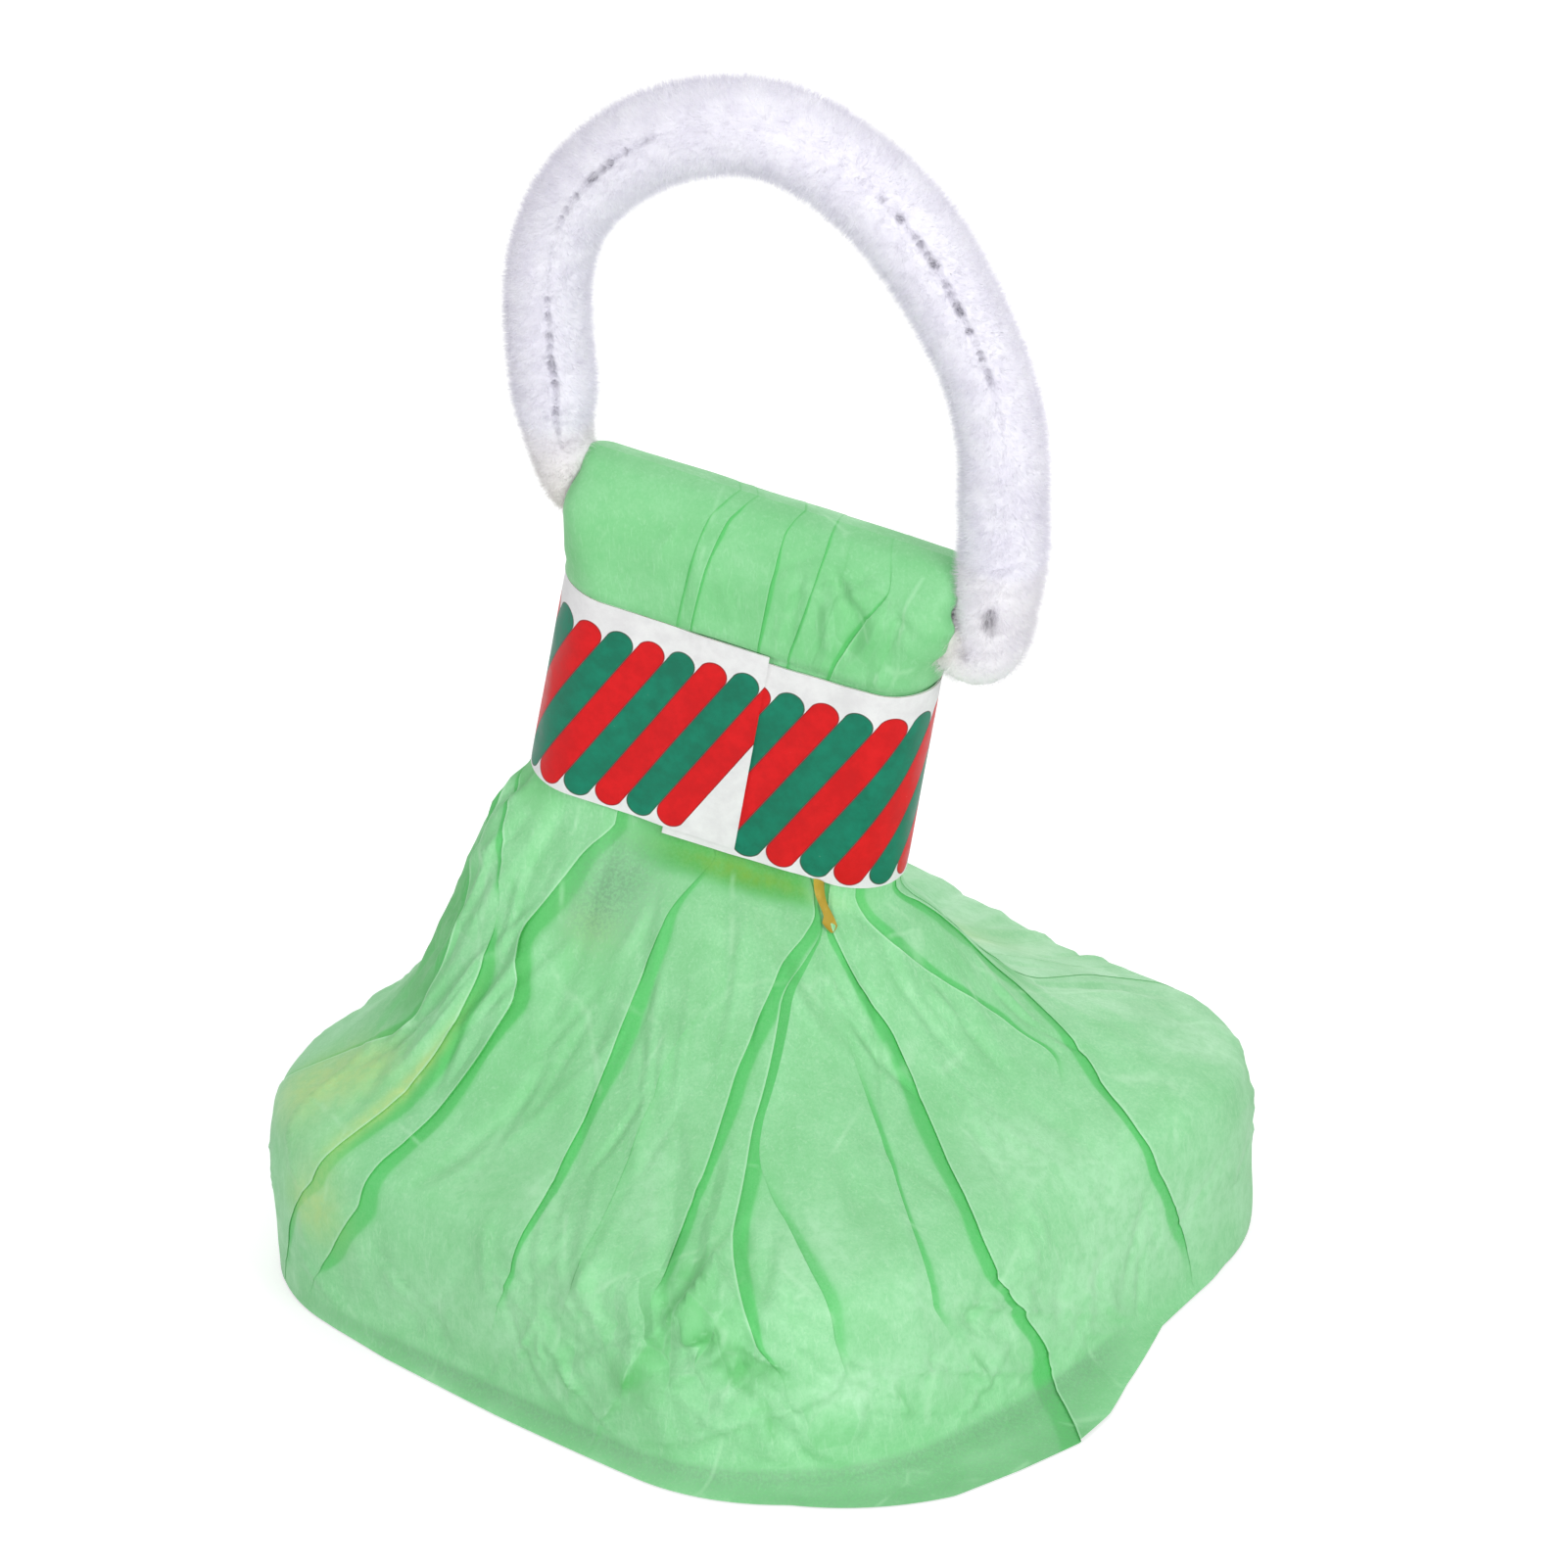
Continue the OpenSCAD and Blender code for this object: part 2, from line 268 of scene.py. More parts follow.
def tissue_material(name):
    """Thin green tissue: felted fibres, deeper green beside folds as painted shade that also stands for the
    doubled tissue, painted highlights on fold edges and creases, painted sheen on some panels.
    """
    sh = Shader(name, 0.56, Sheen_Weight=0.08, Sheen_Roughness=0.5)
    cloud = sh.noise(300, 3, 0.55)
    felt = sh.noise(5200, 3, 0.65)
    clump = sh.noise(1500, 3, 0.6)
    fibre = None
    for turn in (0.35, 1.4, 2.5):
        coords = sh.put("ShaderNodeTexCoord", {}).outputs["Object"]
        turned = {"Vector": coords, "Rotation": (0.4, turn, turn), "Scale": (1, 1, 0.22)}
        place = sh.put("ShaderNodeMapping", turned).outputs[0]
        strand = sh.span(sh.noise(4200, 2, 0.5, place, distortion=0.5), 0.58, 0.74)
        fibre = strand if fibre is None else sh.math("MAXIMUM", fibre, strand)
    crumple = sh.noise(210, 3, 0.5, kind="RIDGED_MULTIFRACTAL")
    cells = {"Vector": sh.place((1, 1, 0.45)), "Scale": 120.0}
    facet = sh.put("ShaderNodeTexVoronoi", cells, feature="DISTANCE_TO_EDGE").outputs[0]
    # Painted highlights along fine creases, where the cloud is light
    line = sh.math("MULTIPLY", sh.span(facet, 0.0, 0.025, 1, 0), sh.span(cloud, 0.46, 0.62))
    bits = {"Vector": sh.place((1.3, 0.8, 0.6)), "Scale": 420.0}
    facet_shade_cells = sh.put("ShaderNodeTexVoronoi", bits).outputs["Color"]
    rim = sh.put("ShaderNodeTexVoronoi", bits, feature="DISTANCE_TO_EDGE").outputs[0]
    crushed = sh.read("crushed")
    body = sh.mix(sh.span(cloud, 0.32, 0.7), srgb(142, 213, 153), srgb(157, 223, 168))
    body = sh.mix(sh.span(clump, 0.35, 0.65, 0.2, 0.0), body, srgb(116, 202, 130))
    body = sh.mix(sh.span(felt, 0.36, 0.66, 0.3, 0.0), body, srgb(112, 200, 126))
    body = sh.tint(body, fibre, 0.25, srgb(186, 235, 194))
    # Painted sheen: lighter patches on the panels where the light catches them
    body = sh.tint(body, sh.read("painted_sheen"), sh.span(clump, 0.3, 0.65, 0.4, 1.0), srgb(184, 236, 193))
    # Painted shade on the facets of crushed tissue, and painted highlights on their creases
    body = sh.tint(body, crushed, sh.span(facet_shade_cells, 0.3, 0.75, 0.0, 0.8), srgb(112, 208, 126))
    body = sh.tint(body, crushed, sh.span(rim, 0.0, 0.05, 0.3, 0.0), srgb(184, 236, 192))
    # Painted shade beside the folds, a deeper green that also stands for the doubled tissue under them
    under = sh.math("MULTIPLY_ADD", felt, 0.12, sh.read("deep"))
    band = sh.math("ADD", sh.span(under, 0.42, 0.7, 0.0, 0.55), sh.span(under, 0.0, 0.95, 0.0, 0.45))
    body = sh.tint(body, band, sh.span(felt, 0.3, 0.7, 0.84, 1.0), srgb(88, 199, 106))
    shade = sh.read("shade")
    body = sh.tint(body, shade, sh.span(felt, 0.3, 0.7, 0.8, 1.0), srgb(76, 180, 88))
    # Paper that shows through, turned olive under the painted shade
    warm_with_painted_shade = sh.mix(shade, srgb(186, 219, 138), srgb(118, 170, 42))
    body = sh.tint(body, sh.read("warm"), sh.span(clump, 0.3, 0.65, 0.6, 1.0), warm_with_painted_shade)
    # Grey of paper that shows through, and painted grey shade along the hem
    show_through_and_shade_speckle = sh.math("MULTIPLY_ADD", felt, 0.8, sh.math("MULTIPLY", clump, 0.2))
    body = sh.tint(body, sh.read("grey"), sh.span(show_through_and_shade_speckle, 0.4, 0.6, 0.5, 1.0), srgb(116, 168, 126))
    body = sh.tint(body, line, 0.3, srgb(190, 238, 196))
    # Painted highlight along the fold edges and kinks
    body = sh.mix(sh.span(sh.read("edge"), 0.6, 0.95, 0.0, 0.6), body, srgb(186, 237, 194))
    sh.colour(body)
    sh.rough(sh.span(cloud, 0.3, 0.7, 0.64, 0.5))
    first = sh.bump(crumple, 0.4, 0.6)
    second = sh.bump(facet, 0.5, 0.35, first)
    second = sh.bump(sh.math("MULTIPLY", crushed, rim), 1.2, 0.6, second)
    sh.bump(sh.math("ADD", sh.math("MULTIPLY", fibre, 0.5), felt), 0.03, 0.5, second)
    return sh.material


def label_material():
    """White coated paper printed with slanted capsules in red and green."""
    pitch, radius, slant = 1.99, 0.9, math.radians(64)
    last, low, high = 25.5, 1.05, 11.1
    lapped = 4.35
    sh = Shader("label_paper", 0.42, Specular_IOR_Level=0.25)
    uv = sh.put("ShaderNodeUVMap", {}, uv_map="print").outputs[0]
    axes = sh.put("ShaderNodeSeparateXYZ", {0: uv})
    run, rise = axes.outputs[0], axes.outputs[1]
    lift = sh.math("SUBTRACT", rise, low)
    shift = sh.math("MULTIPLY_ADD", lift, -1 / math.tan(slant), -PRINT_START)
    count = sh.math("DIVIDE", sh.math("ADD", run, shift), pitch)
    index = sh.math("ROUND", count)
    aside = sh.math("MULTIPLY", sh.math("SUBTRACT", count, index), pitch)
    along = sh.math("MULTIPLY_ADD", aside, math.cos(slant), sh.math("DIVIDE", lift, math.sin(slant)))
    over = sh.math("MAXIMUM", sh.math("SUBTRACT", along, (high - low) / math.sin(slant)), 0.0)
    under = sh.math("MAXIMUM", sh.math("MULTIPLY", along, -1.0), 0.0)
    past = sh.math("ADD", over, under)
    across = sh.math("MULTIPLY", aside, math.sin(slant))
    squares = sh.math("MULTIPLY_ADD", across, across, sh.math("MULTIPLY", past, past))
    reach = sh.math("SQRT", squares)
    printed = sh.math("MULTIPLY", sh.math("LESS_THAN", index, last), sh.math("GREATER_THAN", run, lapped))
    inked = sh.math("MULTIPLY", sh.span(reach, radius - 0.02, radius + 0.03, 1, 0), printed)
    front = sh.math("GREATER_THAN", rise, -1.0)
    inked = sh.math("MULTIPLY", inked, front)
    odd = sh.math("MODULO", sh.math("ADD", index, 100.0), 2.0)
    wear = sh.noise(700, 6, 0.7)
    grain = sh.noise(2600, 3, 0.6)
    red = sh.mix(sh.span(wear, 0.35, 0.7), srgb(205, 8, 16), srgb(222, 20, 26))
    green = sh.mix(sh.span(wear, 0.35, 0.7), srgb(4, 110, 84), srgb(14, 128, 100))
    ink = sh.mix(odd, green, red)
    rim = sh.span(reach, radius - 0.1, radius - 0.03, 0, 0.6)
    ink = sh.mix(rim, ink, srgb(74, 24, 30))
    scuff = sh.math("MULTIPLY", sh.span(wear, 0.66, 0.76), sh.span(grain, 0.5, 0.65))
    ink = sh.tint(ink, scuff, 0.55, srgb(214, 206, 206))
    paper = sh.mix(sh.span(wear, 0.3, 0.7), srgb(224, 222, 224), srgb(236, 235, 236))
    sh.colour(sh.mix(inked, paper, ink))
    sh.rough(sh.span(wear, 0.3, 0.7, 0.3, 0.5))
    wave = sh.noise(120, 2, 0.5)
    first_bump = sh.bump(wave, 0.25, 0.5)
    sh.bump(grain, 0.02, 0.4, first_bump)
    return sh.material


def pile_material():
    """Fine white fibres, with painted light from the tissue near the neck and painted shade in the groove.
    """
    sh = Shader("chenille_pile", 0.75, Sheen_Weight=0.3, Sheen_Roughness=0.4)
    tone = sh.noise(600, 3, 0.6)
    white = sh.mix(sh.span(tone, 0.3, 0.7), srgb(242, 240, 249), srgb(249, 248, 254))
    # Darker roots, random per blade, and painted shade at the bottom of the groove
    white = sh.mix(sh.read("root"), white, srgb(206, 204, 214))
    # Painted light from the tissue near the neck
    sh.colour(sh.mix(sh.read("painted_tissue_light"), white, srgb(240, 232, 212)))
    return sh.material


def wire_material():
    """Dull drawn steel."""
    sh = Shader("steel_wire", 0.38, Metallic=0.85)
    tone = sh.noise(1800, 4, 0.6)
    sh.colour(sh.mix(sh.span(tone, 0.3, 0.7), srgb(128, 126, 132), srgb(186, 184, 190)))
    sh.rough(sh.span(tone, 0.3, 0.7, 0.3, 0.5))
    sh.bump(tone, 0.02, 0.4)
    return sh.material


def paper_material(name, red, green, blue):
    """Thin dyed streamer paper with fibres and a slightly uneven dye."""
    sh = Shader(name, 0.62, Sheen_Weight=0.1)
    cloud = sh.noise(300, 4, 0.6)
    fibre = sh.noise(1600, 4, 0.7, sh.place((1.0, 1.0, 0.3)))
    faded, bright = (srgb(*[min(255, v + more) for v in (red, green, blue)]) for more in (34, 60))
    body = sh.mix(sh.span(cloud, 0.35, 0.7), srgb(red, green, blue), faded)
    sh.colour(sh.mix(sh.span(fibre, 0.5, 0.75, 0, 0.35), body, bright))
    sh.bump(fibre, 0.04, 0.5)
    return sh.material


# Base surface of the wrapper: s runs 0 hem, 1 shoulder, 2 foot of the neck, 3 pocket axis, 4 top fold


def reach(th, rho):
    """Distance from the axis to the line wrapped round four discs of radius rho."""
    a = np.abs((th - COIL_YAW + 405) % 90 - 45)
    edge = math.degrees(math.atan2(rho * math.sqrt(0.5), COIL_DIST + rho * math.sqrt(0.5)))
    t = np.radians(a)
    arc = COIL_DIST * np.cos(t) + np.sqrt(np.maximum(rho**2 - (COIL_DIST * np.sin(t)) ** 2, 0))
    line = (COIL_DIST * math.sqrt(0.5) + rho) / np.cos(math.pi / 4 - t)
    return np.where(a <= edge, arc, line)


def flat_point(u, a, b, r):
    """Point at the fraction u of the edge of a rounded rectangle, from (a, 0) anticlockwise."""
    sx, sy, q = a - r, b - r, math.pi * r / 2
    quarter = sx + sy + q
    u = np.asarray(u, float) % 1
    k = np.floor(u * 4 + 1e-9).astype(int) % 4
    s = (u * 4 - k) * quarter
    d = np.where(k % 2 == 0, s, quarter - s)
    g = np.clip((d - sy) / q, 0, 1) * math.pi / 2
    x = np.where(d < sy + q, sx + r * np.cos(g), sx - (d - sy - q))
    y = np.where(d < sy, d, sy + r * np.sin(g))
    return np.where((k == 1) | (k == 2), -x, x), np.where(k >= 2, -y, y)


# Loose tissue beyond the coils, by angle: where it leaves the coils and at its edge on the floor
LIP_ANGLE = [150, 200, 217, 228, 250, 272, 291, 300, 308, 316, 324, 330, 336, 350, 366, 380]
LIP_FOOT = [0.1, 0.0, 0.1, 0.3, 0.5, 0.7, 1.1, 1.7, 2.3, 2.6, 2.7, 2.4, 2.0, 1.0, 0.1, 0.1]
LIP_EDGE = [0.2, 0.2, 0.4, 1.1, 1.7, 2.0, 3.2, 5.0, 6.6, 7.2, 7.5, 6.6, 5.0, 2.0, 0.3, 0.2]


def lip(th, widths):
    """Width of the loose tissue at the angles th."""
    return np.interp((th - 150) % 360 + 150, LIP_ANGLE + [510], widths + [widths[0]])


def skirt_ring(z, inset, loose=0.0, edge=0.0):
    """Ring round the coils at the height z, with its shares of the loose tissue."""
    def ring(th):
        r = reach(th % 360, SKIRT_RHO - inset) + loose * lip(th, LIP_FOOT) + edge * lip(th, LIP_EDGE)
        t = np.radians(th)
        return np.stack([r * np.cos(t), r * np.sin(t), np.full_like(t, z)], -1)

    return ring


def neck_ring(h, b, r):
    """Ring of the neck at the height h, with half its depth b and its corner radius r."""
    def ring(th):
        x, y = flat_point(th / 360, NECK_A, b, r)
        return from_neck(x, y, h)

    return ring


def cone_ring(t):
    """Ring of the sagging cone at the fraction t of its height."""
    low, high = skirt_ring(RIM_Z, 1.9), neck_ring(FOOT_H, NECK_B, NECK_B)
    f = np.array([t**CONE_SAG, t**CONE_SAG, t])

    def ring(th):
        p = low(th)
        return p + (high(th) - p) * f

    return ring


def fold_ring(turn):
    """Ring of the fold over the stem, turned in degrees from the pocket's axis."""
    g = math.radians(turn)
    b = NECK_B * math.cos(g)
    return neck_ring(AXIS_H + FOLD_RISE * math.sin(g), b, min(1.2, 0.9 * b))


LEVELS = [
    (0.0, skirt_ring(0.1, 0.2, 0.0, 1.0)),
    (0.08, skirt_ring(1.0, 0.0, 1.0)),
    (0.44, skirt_ring(5.0, -0.1, 0.75)),
    (0.81, skirt_ring(9.2, 0.1, 0.4)),
    (0.93, skirt_ring(11.6, 0.9)),
    (1.08, cone_ring(0.08)),
    (1.3, cone_ring(0.3)),
    (1.55, cone_ring(0.55)),
    (1.8, cone_ring(0.8)),
    (2.0, neck_ring(FOOT_H, NECK_B, NECK_B)),
    (2.24, neck_ring(5.0, NECK_B, NECK_B)),
    (2.53, neck_ring(10.5, NECK_B, NECK_B)),
    (2.77, neck_ring(15.2, NECK_B, NECK_B)),
    (2.87, neck_ring(17.1, NECK_B, 2.3)),
    (3.0, neck_ring(AXIS_H, NECK_B, 1.3)),
    (3.39, fold_ring(35)),
    (3.72, fold_ring(65)),
    (4.0, fold_ring(89)),
]
LEVEL_S = [s for s, ring in LEVELS]


def surface(th, s):
    """Points of the base surface at the angles th of one height s."""
    last = len(LEVELS) - 1
    place = float(np.interp(s, LEVEL_S, range(last + 1)))
    i = min(int(place), last - 1)
    rings = [LEVELS[min(max(i - 1 + j, 0), last)][1] for j in range(4)]
    return sum(w * ring(th) for w, ring in zip(spline(place - i), rings))


def lean_out(th, s):
    """Outward directions of the base surface."""
    low, high = max(s - 0.01, 0.0), min(s + 0.01, 4.0)
    around = surface(th + 0.3, s) - surface(th - 0.3, s)
    return unit(np.cross(around, surface(th, high) - surface(th, low)))


# Folds of the tissue as (s, angle, lift): a positive lift puts the higher angles on top
FRONT = {
    "left_outer": [
        (0, 187, 0.1), (0.41, 190, 0.3), (0.93, 196, 0.7), (1.04, 198, 0.8), (1.24, 206, 0.8),
        (1.39, 204, 0.8), (1.53, 200.5, 0.9), (1.65, 193, 0.9), (1.77, 191, 0.8), (1.9, 185, 0.6),
        (2, 177, 0.4), (2.7, 180, 0), (4, 180, 0),
    ],
    "left_crease": [
        (0, 205, -0.1), (0.47, 210, -0.4), (0.95, 217, -0.55), (1.2, 217, -0.6), (1.44, 215.5, -0.6),
        (1.57, 212, -0.3), (1.68, 207, 0.3), (1.76, 202, 0.6), (1.9, 190.5, 0.5), (2, 182, 0.3),
        (2.7, 188, 0), (4, 188, 0),
    ],
    "left_flap": [
        (0, 212, 0), (0.2, 214, -0.1), (0.44, 218, -0.5), (0.8, 223, -0.6), (1.1, 224.5, -0.8),
        (1.43, 226.5, -1.3), (1.6, 219, -1.2), (1.89, 226.5, -0.8), (2.02, 235.5, -0.4), (2.7, 212, 0),
        (4, 212, 0),
    ],
    "left_pleat": [
        (0, 246, 0), (0.4, 248, 0), (0.6, 249.5, -0.2), (0.96, 252.5, -0.45), (1.1, 253, -0.6),
        (1.62, 258, -0.5), (1.81, 262.5, -0.4), (2, 278, -0.2), (2.7, 243.5, -0.25), (3, 247, -0.3),
        (3.55, 247.5, -0.3), (4, 252, -0.25),
    ],
    "middle_soft": [
        (0, 257, 0), (0.59, 260, 0), (0.96, 264, -0.15), (1.14, 266, -0.2), (1.43, 270, -0.15),
        (1.83, 290, 0), (2, 300, 0), (2.7, 249.5, -0.38), (3, 253, -0.4), (3.55, 255, -0.38),
        (4, 261, -0.3),
    ],
    "middle_flap": [
        (0, 268, 0), (0.85, 274.5, 0), (0.97, 276, -0.3), (1.08, 278.5, -0.7), (1.42, 285.5, -1.0),
        (1.57, 291, -0.9), (1.73, 299.5, -0.7), (1.88, 316, -0.5), (2, 319.5, -0.3), (2.7, 279, -0.35),
        (3, 278.5, -0.4), (3.6, 279, -0.35), (4, 284, -0.3),
    ],
    "middle_pleat": [
        (0, 294, 0), (0.45, 292, 0), (0.63, 291, -0.15), (0.8, 288.5, -0.4), (1.04, 285.2, -0.8),
        (1.28, 288.5, -0.5), (1.64, 298, -0.5), (1.84, 316.5, -0.3), (2, 321, -0.2), (2.7, 291, -0.3),
        (3, 294, -0.35), (4, 300, -0.3),
    ],
    "middle_right": [
        (0, 303, 0), (0.5, 299, 0), (0.68, 298, -0.22), (0.91, 297, -0.3), (1.03, 294.5, -0.3),
        (1.12, 291.5, -0.25), (1.22, 289.3, -0.15), (1.3, 290.5, 0), (1.64, 301, 0), (1.84, 317, 0),
        (2, 322, 0), (2.7, 302, 0.1), (3, 304, 0.15), (4, 310, 0.1),
    ],
    "right_soft": [
        (0, 315, 0), (0.3, 314.5, 0), (0.56, 313.5, -0.12), (0.81, 310.5, -0.3), (0.98, 311, -0.35),
        (1.13, 312.5, -0.4), (1.35, 313, -0.25), (1.48, 313, -0.12), (1.71, 315.5, 0), (1.84, 318, 0),
        (2, 323.2, 0), (2.7, 309, 0.4), (2.9, 314, 0.45), (3, 318, 0.4), (3.3, 325, 0.3),
        (4, 328, 0.2),
    ],
    "right_flap": [
        (0, 323.5, 1.0), (0.06, 328, 1.0), (0.29, 328, 1.0), (0.74, 322, 0.9), (0.9, 321, 0.8),
        (1.16, 324.5, 0.75), (1.34, 326.5, 0.8), (1.5, 327, 0.9), (1.68, 322, 0.9), (1.84, 320, 0.7),
        (2, 326, 0.4), (2.7, 326, 0.1), (3, 331, 0.1), (4, 335, 0.1),
    ],
    "right_wedge": [
        (0, 346, 0), (0.8, 345, 0), (0.94, 346, 0), (1.07, 351, 0), (1.2, 359, -0.2), (1.26, 361, -0.4),
        (1.46, 359, -0.7), (1.61, 352, -0.8), (1.81, 341, -0.7), (2, 336, -0.4), (2.7, 337, 0), (4, 341, 0),
    ],
    "right_pleat": [
        (0, 359, 0), (0.2, 359, 0.2), (0.47, 357.5, 0.4), (0.81, 354.5, 0.6), (0.94, 354.5, 0.65),
        (1.07, 360, 0.65), (1.2, 365, 0.6), (1.31, 370, 0.4), (1.48, 376, 0.35), (1.7, 373, 0.6),
        (1.89, 365, 0.6), (2, 357, 0.4), (2.7, 350, 0), (4, 352, 0),
    ],
    "right_outer": [
        (0, 395, 0.1), (0.8, 398, 0.15), (1.05, 399, 0.2), (1.33, 389.5, 0.2), (1.68, 380, 0.2),
        (2, 363, 0.2), (2.7, 368, 0), (4, 375, 0),
    ],
}

# Folds of the back: angle at the hem, lift, and the front fold that each one meets over the top
BACK = [
    (52, 0.05, "right_flap"),
    (66, 0.05, "right_soft"),
    (80, -0.15, "middle_pleat"),
    (97, 0.8, "middle_flap"),
    (112, -0.4, "middle_soft"),
    (128, 0.6, "left_pleat"),
    (147, 0.7, "left_flap"),
    (166, -0.5, "left_crease"),
]


def back_fold(hem, lift, partner):
    """Path of a fold of the back, from the hem to the front fold that it meets."""
    over = [(s, 360 - th, -up) for s, th, up in FRONT[partner] if s >= 2.7]
    neck = over[0][1]
    rows = [(0, 0.1), (0.5, 0.5), (1.1, 0.9), (1.5, 1.0), (1.8, 0.9), (2.0, 0.35)]
    wave = {0.5: 2.0, 1.1: -1.5, 1.5: 2.5}
    path = [(s, hem + (neck - hem) * (s / 2) ** 1.6 + wave.get(s, 0), lift * f) for s, f in rows]
    return path + over


FOLDS = [back_fold(*b) for b in BACK] + list(FRONT.values())
# Columns of a panel between two folds, height of a fold of lift 1, the lift with a full band of painted
# shade, half the width of the painted highlight on a fold's edge, and the tissue hidden under it
PANEL_COLS = 30
LIFT = 0.2
FULL_BAND = 0.5
EDGE_HIGHLIGHT_HALF_WIDTH = 0.5
UNDERLAP = 0.08


def fold_rows(s_rows):
    """Angle and lift of every fold at every row."""
    angle, lift = [], []
    for path in FOLDS:
        s, th, up = np.array(path, float).T
        near = s_rows[:, None] + np.linspace(-0.03, 0.03, 5)
        angle.append(np.interp(near, s, th).mean(1))
        lift.append(np.interp(near, s, up).mean(1))
    return np.array(angle).T, np.array(lift).T


def spread(s):
    """Length of one degree of the base surface, in millimetres."""
    return np.interp(s, [0, 1, 1.5, 2, 4], [0.46, 0.44, 0.29, 0.15, 0.15])


# Small creases as (count, middle angle, spread, middle s, spread, least and most height)
CREASES = [
    (320, 180, 180, 1.05, 0.95, 0.06, 0.26),
    (36, 284, 9, 0.7, 0.3, 0.15, 0.4),
    (16, 258, 8, 0.6, 0.3, 0.1, 0.3),
    (22, 312, 20, 0.4, 0.25, 0.1, 0.3),
    (26, 204, 20, 1.55, 0.4, 0.15, 0.4),
    (34, 312, 28, 3.05, 0.28, 0.1, 0.3),
    (8, 245, 15, 3.05, 0.25, 0.05, 0.12),
    (34, 60, 36, 3.05, 0.28, 0.08, 0.25),
]


def creases(th, s):
    """Small straight creases scattered over the tissue."""
    high = np.zeros_like(th)
    step = spread(s)
    for count, th_mid, th_far, s_mid, s_far, low, most in CREASES:
        for _ in range(count):
            th_0 = th_mid + th_far * RNG.uniform(-1, 1)
            s_0 = s_mid + s_far * RNG.uniform(-1, 1)
            half = RNG.uniform(0.07, 0.35)
            slope = RNG.normal(0, 28)
            deep = RNG.choice([-1, 1]) * RNG.uniform(low, most)
            wide = RNG.uniform(0.4, 1.1)
            turn = turn_from(th - slope * (s - s_0), th_0)
            side = 1 - np.abs(turn * step) / wide
            high += deep * np.maximum(side, 0) * np.maximum(1 - ((s - s_0) / half) ** 2, 0)
    return high


# Short crisp kinks as (angle, s, angle, s, shaded width, height), shaded to the right of an upward line
KINKS = [
    (277.5, 0.97, 282.5, 1.02, 0.5, 0.2),
    (279, 0.78, 284.5, 0.88, 0.45, 0.3),
    (279, 0.84, 277, 0.87, 0.5, 0.25),
    (277, 0.87, 275.5, 0.95, 0.6, 0.25),
    (270.5, 0.39, 275, 0.81, 1.1, 0.3),
    (265.5, 0.01, 267, 0.19, 0.3, 0.2),
    (267, 0.19, 270.5, 0.39, 0.4, 0.25),
    (285.5, 0.83, 292.5, 0.64, 1.2, 0.25),
    (288, 0.51, 284, 0.65, 1.0, 0.3),
    (290.5, 0.18, 288, 0.51, 0.5, 0.3),
    (292, 0.06, 290.5, 0.18, 0.25, 0.2),
    (283, 0.69, 285, 0.84, 0.6, 0.25),
    (260, 0.41, 264.5, 0.32, 0.3, 0.15),
    (306, 0.3, 303.5, 0.52, 0.3, 0.2),
    (318, 0.25, 315, 0.5, 0.4, 0.25),
    (100, 0.2, 104, 0.62, 0.5, 0.25),
    (108, 0.3, 103, 0.7, 0.6, 0.25),
    (150, 0.25, 146, 0.7, 0.5, 0.25),
]


def kinks(th, s):
    """Height, painted shade and painted highlight line of the short kinks."""
    high, shade, edge = (np.zeros_like(th) for _ in range(3))
    for th_0, s_0, th_1, s_1, wide, size in KINKS:
        step = np.array([(th_1 - th_0) * 0.45, (s_1 - s_0) * RIM_Z])
        length = np.hypot(*step)
        step = step / length
        x = turn_from(th, th_0) * spread(s)
        y = (s - s_0) * RIM_Z
        part = (x * step[0] + y * step[1]) / length
        past = x * step[1] - y * step[0]
        taper = np.clip(1 - (2 * part - 1) ** 4, 0, 1)
        side = np.where(past < 0, 1 + past / 1.1, 1 - past / 0.35)
        high += size * taper * np.maximum(side, 0)
        reach_in = 1.6 * wide * np.clip(0.15 + part, 0.1, 1)
        shade = np.maximum(shade, taper * np.clip(1.2 - past / reach_in, 0, 1) * (past > 0))
        edge = np.maximum(edge, 0.85 * taper * np.clip(1 - np.abs(past) / 0.4, 0, 1))
    return high, shade, edge


def bumps(th, s, spots):
    """Sum of soft spots given as (angle, s, angle radius, s radius, size)."""
    total = np.zeros_like(th)
    for th_0, s_0, th_r, s_r, size in spots:
        total += size * np.exp(-((turn_from(th, th_0) / th_r) ** 2) - ((s - s_0) / s_r) ** 2)
    return total


def patches(th, s, spots):
    """Paint of soft spots, from 0 to 1."""
    return np.clip(bumps(th, s, spots), 0, 1)


# Where the tissue has settled downwards and where it stands out, in millimetres
SETTLED = [
    (38, 1.45, 50, 0.32, -2.4), (26, 0.94, 14, 0.12, -0.9), (62, 0.98, 22, 0.17, -1.2),
    (190, 1.25, 22, 0.18, -0.6), (186, 0.95, 14, 0.12, -0.6), (184, 1.85, 22, 0.2, 1.0),
]
PUFFED = [(184, 1.76, 20, 0.16, 0.75)]

